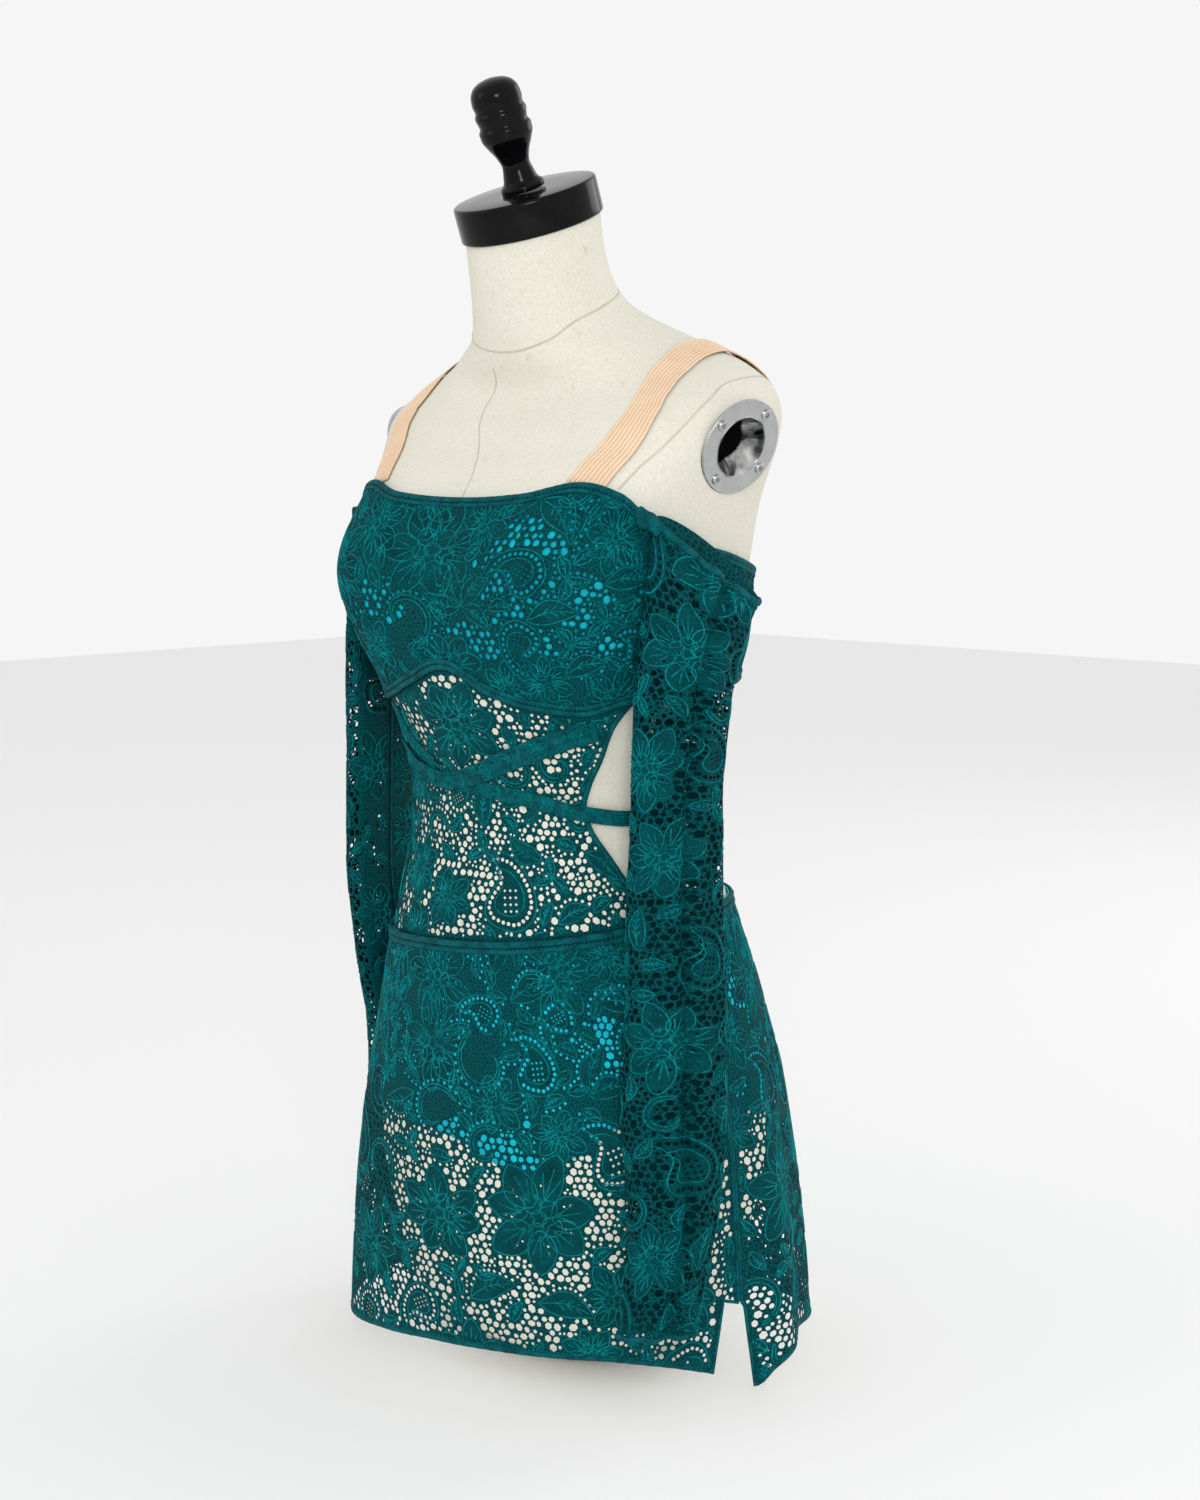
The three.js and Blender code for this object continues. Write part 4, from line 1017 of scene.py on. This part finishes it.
def holes_for(cloth_panel, solids, beads, seed, margin, netted):
    """The holes of a panel, each a place, a radius, a stretch and a direction."""
    rng = np.random.default_rng(seed)
    kept, grid = [], {}

    def room(x, y, bar):
        """How wide a hole at this place may be, with a bar of thread left round it."""
        i, j = int(x // box), int(y // box)
        near = [hole for a in (i - 1, i, i + 1) for b in (j - 1, j, j + 1) for hole in grid.get((a, b), ())]
        return min([math.hypot(x - ox, y - oy) - other - bar for ox, oy, other in near], default=9.0)

    def keep(x, y, radius, stretch, way):
        grid.setdefault((int(x // box), int(y // box)), []).append((x, y, radius))
        kept.append((x, y, radius, stretch, way))

    if beads:
        spots = np.array([spot for spot, _ in beads])
        sizes = np.array([radius for _, radius in beads])
        good = cloth_panel["clear"](spots[:, 0], spots[:, 1], margin)
        for (x, y), radius in zip(spots[good], sizes[good]):
            if room(x, y, 0.8) > radius:
                keep(x, y, radius, 1.0, 0.0)
    for size, step, wobble, least in ((3.1, net_pitch, 0.95, 1.6), (1.7, 3.2, 0.6, 1.1)):
        spots = lattice(cloth_panel, step, seed + int(step * 10), wobble, margin)
        outside = -depth_in(spots, solids)
        wanted = netted(spots[:, 0], spots[:, 1]) if netted else np.ones(len(spots), bool)
        for (x, y), away, open_here in zip(spots, outside, wanted):
            radius = min(size * rng.uniform(0.8, 1.1), away - 0.65, room(x, y, 0.6))
            if open_here and radius > least:
                keep(x, y, radius, rng.uniform(0.88, 1.12), rng.uniform(0, math.pi))
    return kept


def hole_corners(hole):
    """A hole is a stretched hexagon, or a square where it is small."""
    x, y, radius, stretch, way = hole
    sides = 6 if radius > 1.5 else 4
    around = 2 * math.pi * np.arange(sides) / sides
    px, py = radius * stretch * np.cos(around), radius / stretch * np.sin(around)
    return np.stack([x + px * math.cos(way) - py * math.sin(way),
                     y + px * math.sin(way) + py * math.cos(way)], -1)


def border_of(cloth_panel):
    """The outline of the flat pattern, once round."""
    long, short = np.linspace(0, 1, 180), np.linspace(0, 1, 90)
    sides = ((long, 0.0), (1.0, short), (long[::-1], 1.0), (0.0, short[::-1]))
    return np.concatenate([cloth_panel["edge"](*np.broadcast_arrays(u, v))[:-1] for u, v in sides])


# %% [markdown]
# The sheet is one flat triangulation: its outline, the outlines of its holes, and places between
# them. The triangles inside the holes are left out, and only then is it laid on the body. The
# cords are thin tubes that are laid on top.

# %% Sheets and cords
def lace_sheet(name, cloth_panel, placed, seed, node, margin, netted, crowd):
    """A sheet of lace with its holes cut, and the raised cords that lie on it."""
    solids, cords, beads = scatter(cloth_panel, placed, seed, netted, crowd)
    holes = holes_for(cloth_panel, solids, beads, seed, margin, netted)
    centres = kdtree.KDTree(len(holes))
    points, owner, edges = [], [], []

    def add_loop(loop, number):
        first = len(points)
        points.extend(tuple(p) for p in loop)
        owner.extend([number] * len(loop))
        edges.extend((first + i, first + (i + 1) % len(loop)) for i in range(len(loop)))
    for k, hole in enumerate(holes):
        centres.insert((hole[0], hole[1], 0), k)
        add_loop(hole_corners(hole), k)
    centres.balance()
    add_loop(border_of(cloth_panel), -1)
    fill = [lattice(cloth_panel, fill_pitch, seed + 5, fill_pitch * 0.12, 1.5)]
    for shape in solids:
        middle = shape.mean(0)
        fill += [shape[::2], (middle + (shape - middle) * 0.7)[::3]]
    fill = np.concatenate(fill)
    for x, y in fill[cloth_panel["clear"](fill[:, 0], fill[:, 1], 1.2)]:
        _, k, away = centres.find((x, y, 0))
        if away > holes[k][2] * 1.2 + 0.35:
            points.append((x, y))
            owner.append(-1)
    flat, _, triangles, source = delaunay_2d_cdt([Vector(p) for p in points], edges, [], 0, 1e-4, True)[:4]
    flat, triangles = np.array([tuple(p) for p in flat]), np.array([tuple(t) for t in triangles])
    own = np.array([owner[s[0]] if s else -1 for s in source])[triangles]
    in_hole = (own[:, 0] >= 0) & (own == own[:, :1]).all(1)
    centre = flat[triangles].mean(1)
    triangles = triangles[~in_hole & cloth_panel["clear"](centre[:, 0], centre[:, 1], -0.001)]
    used, triangles = np.unique(triangles, return_inverse=True)
    triangles, flat = triangles.reshape(-1, 3), flat[used]
    mesh = bpy.data.meshes.new(name)
    mesh.from_pydata(cloth_panel["spot"](flat[:, 0], flat[:, 1]) * MM, [], triangles.tolist())
    layer = mesh.uv_layers.new(name="flat")
    corner = np.array([loop.vertex_index for loop in mesh.loops])
    layer.uv.foreach_set("vector", (flat[corner] * MM).ravel())
    shade = mesh.attributes.new("petal", "FLOAT", "POINT")
    shade.data.foreach_set("value", np.clip(depth_in(flat, solids) / 3.5 + 0.15, 0, 1))
    mesh.update()
    piece = finish_piece(mesh, name, lace, node)
    add_wall(piece, lace_wall)
    print(name, "holes:", len(holes), "motif outlines:", len(solids), "faces:", len(triangles),
          "area m2:", area_of(piece))
    return piece, lace_cords(f"{name}_cords", cloth_panel, cords)


def lace_cords(name, cloth_panel, lines, width=1.15, rise=0.55, sunk=0.1, step=3.7):
    """Raised cords: thin tubes with a three-sided section that follow the flat lines."""
    starts, faces, spots, tops = 0, [], [], []
    for line, closed in lines:
        line = np.asarray(line, float)
        if closed:
            line = np.concatenate([line, line[:1]])
        known = np.concatenate([[0], np.cumsum(np.linalg.norm(np.diff(line, axis=0), axis=1))])
        count = max(2, int(known[-1] / step) + 1)
        at = np.linspace(0, known[-1], count)
        line = np.stack([np.interp(at, known, line[:, i]) for i in (0, 1)], -1)
        good = [*cloth_panel["clear"](line[:, 0], line[:, 1], 3.0), False]
        run = []
        for k in range(count + 1):
            if good[k]:
                run.append(line[k])
                continue
            if len(run) > 1:
                run, n = np.array(run), len(run)
                ahead = unit(np.gradient(run, axis=0))
                aside = np.stack([-ahead[:, 1], ahead[:, 0]], -1) * width / 2
                spots += [run - aside, run, run + aside]
                tops += [np.full(n, -sunk), np.full(n, rise), np.full(n, -sunk)]
                for ring in range(3):
                    a, b = starts + ring * n, starts + (ring + 1) % 3 * n
                    faces += [(a + i, b + i, b + i + 1, a + i + 1) for i in range(n - 1)]
                faces.append(tuple(starts + ring * n for ring in (2, 1, 0)))
                faces.append(tuple(starts + ring * n + n - 1 for ring in range(3)))
                starts += 3 * n
            run = []
    flat, lift = np.concatenate(spots), np.concatenate(tops)
    mesh = mesh_of(name, cloth_panel["spot"](flat[:, 0], flat[:, 1], lift), faces)
    return finish_piece(mesh, name, lace_cord)


# %% [markdown]
# The large motifs are placed one by one where the costume has its own: a kind, the turn and the height of its
# middle, its size and the way it points. The smaller ones come by rule.

# %% Lace panels
placed = {
    "bodice_front": [
        ("flower", -2, 652, 78, 20), ("leaf", 16, 676, 36, 35), ("leaf", 26, 690, 40, -40),
        ("leaf", 36, 690, 34, -75), ("flower", 52, 664, 50, 10), ("leaf", 8, 612, 34, 40),
        ("leaf", 8, 612, 30, -30), ("leaf", 8, 612, 34, 110), ("leaf", 8, 612, 32, 165),
        ("leaf", 30, 606, 36, 10), ("leaf", 50, 632, 34, 0), ("flower", -36, 640, 70, 40),
        ("flower", -24, 580, 46, 5), ("paisley", 62, 585, 40, 30), ("leaf", 40, 566, 34, 15)],
    "bodice_back": [
        ("flower", 130, 600, 74, 15), ("paisley", 165, 595, 56, 20), ("flower", 205, 600, 70, 50),
        ("paisley", 240, 600, 50, -30)],
    "midriff": [
        ("flower", 0, 520, 72, 12), ("paisley", 18, 392, 60, 6), ("flower", -26, 398, 56, 30),
        ("scroll", 20, 488, 30, 200), ("leaf", 44, 474, 36, 20), ("leaf", 30, 418, 34, 150),
        ("leaf", 46, 426, 34, -40), ("leaf", 6, 440, 34, 80), ("flower", -32, 470, 50, 0),
        ("leaf", 36, 372, 30, 25), ("paisley", -4, 462, 34, -60)],
    "skirt_front": [
        ("flower", -6, 322, 70, 30), ("flower", 34, 336, 76, 0), ("flower", -6, 268, 76, 10),
        ("leaf", 14, 330, 40, 65), ("leaf", 20, 312, 44, 20), ("leaf", 22, 296, 40, -35),
        ("paisley", 10, 300, 40, 70), ("leaf", -22, 300, 40, 100), ("leaf", -26, 280, 38, 60),
        ("flower", 62, 338, 52, 30), ("leaf", 48, 316, 38, -10), ("leaf", 62, 306, 40, 80),
        ("leaf", 60, 268, 40, 100), ("paisley", 34, 300, 38, 120), ("flower", 16, 232, 50, 15),
        ("leaf", 60, 226, 44, 30), ("leaf", -12, 226, 42, 200), ("leaf", -30, 252, 42, 120),
        ("scroll", 12, 262, 52, 120), ("paisley", 28, 266, 50, 10), ("leaf", 44, 246, 40, 70),
        ("leaf", 44, 246, 36, 10), ("flower", 30, 150, 92, 20), ("flower", 0, 138, 74, 45),
        ("leaf", 48, 180, 40, -20), ("scroll", 14, 198, 34, 60), ("flower", -30, 90, 66, 10),
        ("leaf", 10, 78, 42, 25), ("leaf", 30, 84, 44, -10), ("flower", 52, 92, 58, 30),
        ("paisley", -42, 170, 56, 20), ("flower", -48, 250, 78, 0), ("paisley", 70, 180, 54, -20),
        ("flower", 76, 290, 72, 0), ("flower", 72, 90, 60, 0)],
    "skirt_back": [
        ("flower", 112, 320, 78, 0), ("paisley", 108, 240, 60, 15), ("flower", 108, 160, 84, 20),
        ("paisley", 112, 70, 52, -20), ("flower", 145, 280, 90, 0), ("flower", 150, 130, 86, 10),
        ("paisley", 180, 220, 66, 0), ("flower", 200, 320, 80, 30), ("flower", 205, 110, 90, 0),
        ("paisley", 235, 280, 60, 20), ("flower", 235, 180, 88, 20)],
    "sleeve_left": [
        ("flower", 70, 580, 62, 0), ("paisley", 120, 505, 46, 10), ("flower", 60, 430, 60, 20),
        ("paisley", 120, 350, 46, -10), ("flower", 70, 290, 66, 10), ("paisley", 100, 200, 50, 20),
        ("flower", 60, 130, 60, 0), ("leaf", 130, 120, 34, 80), ("leaf", 30, 360, 34, 90)],
}
placed["sleeve_right"] = [(kind, -turn, *rest) for kind, turn, *rest in placed["sleeve_left"]]


def islands(cloth_panel, below, spots):
    """Where a panel has net: everywhere below a height, and above it only in a few islands."""
    def netted(x, y):
        turn = x / cloth_panel["per"]
        inside = y < below + 14 * np.sin(turn / 11)
        for middle, level, wide, tall in spots:
            inside |= ((turn - middle) / wide) ** 2 + ((y - level) / tall) ** 2 < 1
        return inside
    return netted


def outer_face(cloth_panel, side):
    """A sleeve has net on the face that shows, and close lace on the face by the body."""
    return lambda x, y: np.sin(np.radians(x / cloth_panel["per"])) * side > -0.25


netted = {
    "sleeve_left": outer_face(panels["sleeve_left"], 1),
    "sleeve_right": outer_face(panels["sleeve_right"], -1),
    "bodice_front": islands(panels["bodice_front"], 0, [
        (26, 636, 17, 44), (44, 600, 14, 38), (10, 588, 14, 16), (-18, 614, 9, 22), (-34, 600, 9, 26),
        (-58, 616, 14, 30), (72, 616, 12, 30)]),
    "skirt_front": islands(panels["skirt_front"], 212, [
        (50, 280, 12, 24), (38, 316, 6, 9), (76, 300, 9, 22), (-66, 290, 12, 24), (-40, 330, 9, 10)]),
    "skirt_back": islands(panels["skirt_back"], 212, [
        (104, 322, 9, 22), (122, 260, 9, 16), (160, 300, 12, 24), (200, 260, 12, 22), (240, 310, 10, 20)]),
}
sheets = {}
for word, node, margin in (("bodice_front", "bodice_lace_front", 9), ("bodice_back", "bodice_lace_back", 8),
                           ("midriff", "midriff_panel", 4), ("skirt_front", "skirt_front", 6),
                           ("skirt_back", "skirt_back", 6),
                           ("sleeve_left", ["sleeve_left_outer", "sleeve_left_inner"], 5),
                           ("sleeve_right", ["sleeve_right_outer", "sleeve_right_inner"], 5)):
    sheets[word] = lace_sheet(f"{word}_lace", panels[word], placed[word], len(sheets) * 17 + 3, node, margin,
                              netted.get(word), 1.05 if "sleeve" in word else 0.68)

# %% [markdown]
# ## The linings
# The turquoise lining is plain stretch cloth. It lies between the lace and the form, in the
# bodice and in the brief, and it is what shines through the holes.

# %% Bodice lining and brief
def lining_sheet(name, low, high, start, end, ease, cells, node):
    def place(u, v):
        turn = start + (end - start) * u
        bottom, top = low(wrapped(turn)), high(wrapped(turn))
        return lifted(skin, turn, bottom + (top - bottom) * v, lining_out + ease * np.sin(np.pi * v))
    return shaped_grid(name, cells, place, (2.45 * (end - start), 150), lining_cloth, node,
                       thick=0.9)


linings = {}
for word, start, end in (("front", -89.98, 89.98), ("back", 90.02, 269.98)):
    linings[f"bodice_{word}"] = lining_sheet(f"bodice_lining_{word}_cloth", bodice_foot, bodice_top, start,
                                             end, 2.2,
                                             (72, 26), f"bodice_lining_{word}")
    linings[f"brief_{word}"] = lining_sheet(f"brief_{word}_cloth", brief_foot, hip_seam, start, end, 0.4,
                                            (72, 30), f"brief_{word}")
for word, piece in linings.items():
    print(word, "area m2:", area_of(piece))

# %% [markdown]
# ## Rolled edges
# Each raw edge of the lace is turned over a narrow elastic and stitched down. The elastic
# gathers it, so the roll puckers. A roll is a flattened tube swept along the edge.

# %% Rolls along the edges
def upright(cloth_panel, line):
    """Which way is out of the cloth, along a line of the flat pattern."""
    spot, (x, y) = cloth_panel["spot"], line.T
    return unit(np.cross(spot(x + 1, y) - spot(x - 1, y), spot(x, y + 1.0) - spot(x, y - 1.0)))


def edge_line(cloth_panel, along, at, inset, count=170):
    """A line just inside one edge of a panel: along is u or v, and at says which of the two edges."""
    t, still = np.linspace(0, 1, count), np.full(count, float(at))
    line = cloth_panel["edge"](t, still) if along == "u" else cloth_panel["edge"](still, t)
    line[:, 1 if along == "u" else 0] += inset if at == 0 else -inset
    return line


# For each edge: the direction it runs in, which of the two it is, how far in the roll lies, its
# width and rise, its lift off the lace, how much it puckers, and the length of a pucker.
edge_rolls = {
    "bodice": {"top_a": ("u", 1, 2.2, 4.6, 1.7, 0.3, 0.12, 6.0),
               "top_b": ("u", 1, 6.2, 3.6, 1.2, 0.3, 0.12, 6.0),
               "foot_a": ("u", 0, 1.2, 5.0, 1.8, 0.3, 0.12, 6.0),
               "foot_b": ("u", 0, 5.8, 3.8, 1.2, 0.3, 0.12, 6.0)},
    "skirt": {"waist_a": ("u", 1, 0.9, 5.6, 2.1, 0.3, 0.12, 6.0),
              "waist_b": ("u", 1, 6.0, 4.0, 1.3, 0.3, 0.12, 6.0),
              "hem": ("u", 0, 1.8, 4.2, 1.1, 0.0, 0.18, 9),
              "side_left": ("v", 1, 1.0, 2.6, 0.8, 0.0, 0.05, 6.0),
              "side_right": ("v", 0, 1.0, 2.6, 0.8, 0.0, 0.05, 6.0)},
    "midriff": {"side_right": ("v", 0, 1.6, 3.8, 1.3, 0.3, 0.06, 6.0),
                "side_left": ("v", 1, 1.6, 3.8, 1.3, 0.3, 0.06, 6.0)},
    "sleeve": {"cuff": ("u", 0, 2.0, 4.6, 1.2, 0.3, 0.12, 7), "mouth": ("u", 1, 2.4, 5.4, 1.6, 0.3, 0.16, 6),
               "seam": ("v", 0, 0.4, 2.4, 0.5, 0.3, 0.03, 6.0)},
}
rolls = 0
for word, shape in panels.items():
    for part, (along, at, inset, width, rise, lift, ripple, wave) in edge_rolls[word.split("_")[0]].items():
        line = edge_line(shape, along, at, inset)
        middle = shape["spot"](line[:, 0], line[:, 1], np.full(len(line), lift))
        swept(f"{word}_{part}", middle, upright(shape, line), width, rise, lace_roll, around=8,
              ripple=ripple, wave=wave)
        rolls += 1
print("rolled edges:", rolls)

# %% [markdown]
# ## Stitching
# Rows of short stitches hold down the rolls along the top and bottom edges of the pieces. Each stitch is a
# tiny sliver with eight faces, so that hundreds of them stay light.

# %% Stitches
def stitches(name, cloth_panel, line, lift, pitch=3.4, long=2.3, wide=0.55):
    """Dashes of thread along a line of the flat pattern."""
    middle = cloth_panel["spot"](line[:, 0], line[:, 1], np.full(len(line), lift))
    known = np.concatenate([[0], np.cumsum(np.linalg.norm(np.diff(middle, axis=0), axis=1))])
    starts = np.arange(2, known[-1] - long - 2, pitch)

    def at(table, where):
        return np.stack([np.interp(where, known, table[:, i]) for i in range(3)], -1)
    a, b = at(middle, starts), at(middle, starts + long)
    top = unit(at(upright(cloth_panel, line), starts + long / 2))
    aside, half = unit(np.cross(top, b - a)) * wide / 2, (a + b) / 2
    corners = np.stack([a, b, half + aside, half - aside, half + top * 0.45, half - top * 0.2], 1)
    shape = [(0, 2, 4), (2, 1, 4), (1, 3, 4), (3, 0, 4), (2, 0, 5), (1, 2, 5), (3, 1, 5), (0, 3, 5)]
    faces = [tuple(6 * k + i for i in face) for k in range(len(starts)) for face in shape]
    finish_piece(mesh_of(name, corners.reshape(-1, 3), faces), name, thread)
    return len(starts)


# For each row of stitches: which edge it is by, how far in it lies, and its lift off the lace.
edge_stitches = {"bodice": {"top": (1, 4.2, 1.0), "foot": (0, 4.2, 1.0)}, "midriff": {},
                 "skirt": {"waist": (1, 3.9, 1.1), "hem": (0, 4.4, 0.2)},
                 "sleeve": {"cuff": (0, 4.8, 0.2), "mouth": (1, 5.6, 0.2)}}
sewn = 0
for word, shape in panels.items():
    for part, (at, inset, lift) in edge_stitches[word.split("_")[0]].items():
        sewn += stitches(f"{word}_{part}_stitches", shape, edge_line(shape, "u", at, inset), lift)
print("stitches:", sewn)

# %% [markdown]
# ## Straps and wrap bands
# The straps are ribbed elastic: a strip whose face rises and falls nine times across. The wrap
# bands are doubled strips of the same lace, so they are dark, and they crease along their length.

# %% Bands on the skin
def slide(turn, z, direction, distance):
    """A place on the skin that is a distance away from another, found in a few straight steps."""
    target = skin(turn, z) + direction * distance[:, None]
    turn, z = np.array(turn, float), np.array(z, float)
    for _ in range(8):
        here = skin(turn, z)
        around, up = (skin(turn + 0.5, z) - here) * 2, (skin(turn, z + 0.5) - here) * 2
        miss = target - here
        rr, ru, uu = (around * around).sum(1), (around * up).sum(1), (up * up).sum(1)
        mr, mu = (miss * around).sum(1), (miss * up).sum(1)
        scale = rr * uu - ru * ru
        turn, z = turn + (mr * uu - mu * ru) / scale, z + (mu * rr - mr * ru) / scale
    return turn, z


def path_of(rows):
    """A band's path: a share along it, and across it, give a turn, a height, a width and a lift."""
    last = len(rows) - 1
    turn_at, z_at, width_at, lift_at = (curve(range(len(rows)), column) for column in zip(*rows))

    def at(along, across):
        s = along * last
        turn, z, width = turn_at(s), z_at(s), width_at(s)
        before, after = np.maximum(s - 0.02, 0), np.minimum(s + 0.02, last)
        ahead = unit(skin(turn_at(after), z_at(after)) - skin(turn_at(before), z_at(before)))
        aside = unit(np.cross(normal_of(skin, turn, z), ahead))
        turn, z = slide(turn, z, aside, across * width)
        return turn, z, lift_at(s)
    return at


def band(name, rows, cells, height, size, finish, node):
    """A band on the skin. height(share across, millimetres along) shapes its face."""
    path = path_of(rows)

    def place(u, v):
        turn, z, lift = path(u, v - 0.5)
        return lifted(skin, turn, z, lift + height(v, u * size[0]))
    return shaped_grid(name, cells, place, size, finish, node, thick=0.9)


strap_rows = [
    (35.5, 700, 31, 0.8), (36, 728, 30, 0.8), (37.5, 752, 28, 1), (42, 771, 26, 1.1), (54, 786, 25, 1.1),
    (72, 795, 25, 1.1), (96, 799, 25, 1.2), (120, 795, 25, 1.6), (134, 778, 25, 2.0), (140, 750, 25, 1.8),
    (145, 710, 25, 1.2), (149, 670, 25, 0.8), (151, 637, 25, 0.8)]
straps = []
for side, word in ((-1, "right"), (1, "left")):
    rows = [(side * turn, *rest) for turn, *rest in strap_rows]
    straps.append(band(f"strap_{word}", rows, (70, 36),
                       lambda v, x: 0.7 + 0.6 * np.abs(np.sin(strap_ribs * np.pi * v)) ** 0.8,
                       (430, strap_map), elastic_cloth, f"shoulder_strap_{word}"))
on_lace, on_band = 3.7, 6.2
under_rows = [
    (179.85, 462, 17), (150, 460, 17), (120, 455, 16), (90, 452, 14), (64, 452, 12), (44, 456, 12),
    (22, 466, 13), (4, 471, 13), (-10, 476, 13), (-20, 490, 12), (-29, 504, 12), (-33, 518, 12),
    (-33, 527, 11)]
under_rows = [(*row, on_lace) for row in under_rows]
over_rows = [
    (-179.85, 462, 17, on_lace), (-150, 467, 18, on_lace), (-120, 477, 20, on_lace),
    (-90, 485, 23, on_lace), (-64, 489, 25, on_lace), (-42, 487, 22, on_lace), (-24, 479, 16, on_band),
    (-9, 474, 15, on_band), (4, 482, 16, on_band), (16, 494, 17, on_lace), (31, 508, 18, on_lace),
    (42, 517, 18, on_lace), (50, 521, 16, on_lace)]


def creased(folds, depth, slant):
    """The face of a gathered band: slanting folds, small puckers and two raised edges."""
    def height(v, x):
        flat_edges = np.sin(np.pi * np.clip(v, 0, 1)) ** 0.5
        fold = depth * np.sin(folds * 2 * np.pi * v + np.sin(x / slant)) * flat_edges
        pucker = 0.25 * depth * np.sin(x / 4.1 + 5 * v)
        return 0.5 + fold + pucker + 0.7 * (bell(v - 0.04, 0.05) + bell(v - 0.96, 0.05))
    return height


def band_panel(rows, length, height):
    """A band as a flat pattern of its own: x runs along it and y across it, in millimetres."""
    path, usual_width = path_of(rows), 14

    def spot(x, y, more=0.0):
        turn, z, lift = path(np.clip(x / length, 0, 1), y / usual_width)
        return lifted(skin, turn, z, lift + height(y / usual_width + 0.5, x) + more)

    def clear(x, y, margin):
        return (x > 4) & (x < length - 4) & (np.abs(y) < 6.6)
    return {"spot": spot, "clear": clear}



def band_lace(length, seed):
    """Leaves and stems that follow a narrow strip of lace, and the gathers that cross it."""
    rng = random.Random(seed)
    lines = []
    for k in range(int(length / 15)):
        x = 9 + 15 * k
        made = leaf(x, rng.uniform(-3, 3), rng.uniform(12, 17),
                    rng.choice((15, -15, 165, 195)) + rng.uniform(-15, 15))
        lines += made[1]
        for step in (3, 9):
            lean = rng.uniform(-2, 2)
            lines.append(([(x + step, -6.4), (x + step + lean, 0), (x + step + lean * 1.6, 6.4)], False))
    return lines


bands = []
for word, rows, across, face, size, seed in (("under", under_rows, 14, creased(1.5, 0.45, 23), (520, 14), 5),
                                             ("over", over_rows, 16, creased(2.5, 0.55, 31), (560, 18), 8)):
    bands.append(band(f"wrap_{word}", rows, (210, across), face, size, lace_roll,
                      f"wrap_band_{word}"))
    lace_cords(f"wrap_{word}_cords", band_panel(rows, size[0], face), band_lace(size[0], seed), 0.9, 0.4)
for piece in straps + bands:
    print(piece.name, "area m2:", area_of(piece))

# %% [markdown]
# ## Knots
# Each sleeve is caught to the bodice's side by a short twist of lace.

# %% Sleeve knots
knot_parts = columns(["share", "tall", "deep"],
                     [(0, 5, 3), (0.2, 8, 5), (0.5, 7, 4.4), (0.8, 8.5, 5), (1, 5, 3)])
def knot(side, word):
    def place(u, v):
        around, turn = 2 * math.pi * v, np.radians(25 * u)
        folds = 1 + 0.14 * np.sin(5 * around + 7 * u) * np.sin(np.pi * np.clip(u, 0.05, 0.95))
        up = knot_parts["tall"](u) * np.cos(around) * folds
        out = knot_parts["deep"](u) * np.sin(around) * folds
        return np.stack([side * (152.2 + 17 * u),
                         axis_y - 73.7 + 4 * u - out * np.cos(turn) - up * np.sin(turn),
                         681 - 8 * u + up * np.cos(turn) - out * np.sin(turn)], -1)
    shaped_grid(f"knot_{word}", (24, 40), place, (17, 40), lace_roll, f"sleeve_{word}_knot",
                closed=True)


for side, word in ((-1, "right"), (1, "left")):
    knot(side, word)
print("knots:", 2)

# %% [markdown]
# ## Light through the sheer lace
# Real lace this fine lets most of the light through to what is under it. So the sheer panels
# are seen by the camera and by mirrors, but they cast no shade on the form.

# %% Sheer lace lets the light through
sheer = [piece for word in ("midriff", "skirt_front", "skirt_back") for piece in sheets[word]]
for piece in sheer:
    piece.visible_shadow = piece.visible_diffuse = False
print("pieces that cast no hard shadow:", len(sheer))

# %% [markdown]
# ## Studio
# A pale floor and backdrop, broad soft lights, and a camera where the photograph was taken:
# 45 degrees round to the left side, 1.95 m away, looking a little down.

# %% Camera, floor and lights
camera = bpy.data.objects.new("Camera", bpy.data.cameras.new("Camera"))
bpy.context.collection.objects.link(camera)
camera.location = (1.3789, -1.4039, 0.729)
camera.rotation_euler = (math.radians(83), 0, math.radians(44.1))
camera.data.sensor_fit, camera.data.sensor_width = "AUTO", 36
camera.data.lens = 58.8
bpy.context.scene.camera = camera

bm = bmesh.new()
bmesh.ops.create_grid(bm, x_segments=1, y_segments=1, size=6)
floor = bpy.data.objects.new("floor", mesh_from(bm, "floor"))
bpy.context.collection.objects.link(floor)
floor.data.materials.append(material("Pale floor", 0.9, Base_Color=(0.86, 0.86, 0.86, 1))[0])
floor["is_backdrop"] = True

world = bpy.data.worlds.new("Studio")
world.use_nodes = True
backdrop = world.node_tree.nodes["Background"].inputs
backdrop["Color"].default_value, backdrop["Strength"].default_value = (1.0, 1.0, 1.0, 1), 0.92
bpy.context.scene.world = world


def soft_light(name, place, aim, size, power):
    lamp = bpy.data.objects.new(name, bpy.data.lights.new(name, "AREA"))
    bpy.context.collection.objects.link(lamp)
    lamp.location = place
    lamp.rotation_euler = (Vector(aim) - Vector(place)).to_track_quat("-Z", "Y").to_euler()
    lamp.data.size, lamp.data.energy = size, power


soft_light("Key", (1.9, -1.75, 1.15), (0, 0, 0.4), 0.7, 19)
soft_light("Front", (-1.4, -2.4, 1.6), (0, 0, 0.5), 1.2, 5)
soft_light("Back", (0.4, 2.8, 2.0), (0, 0, 0.5), 1.6, 14)
bpy.context.scene.view_settings.view_transform = "Standard"
print("camera at", tuple(round(v, 3) for v in camera.location))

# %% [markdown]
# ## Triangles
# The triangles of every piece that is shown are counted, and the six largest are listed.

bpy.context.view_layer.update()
counts = {piece.name: triangles_in(piece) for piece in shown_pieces() if piece.type == "MESH"}
print("triangles in all:", sum(counts.values()), "largest:", sorted(counts.items(), key=lambda c: -c[1])[:6])
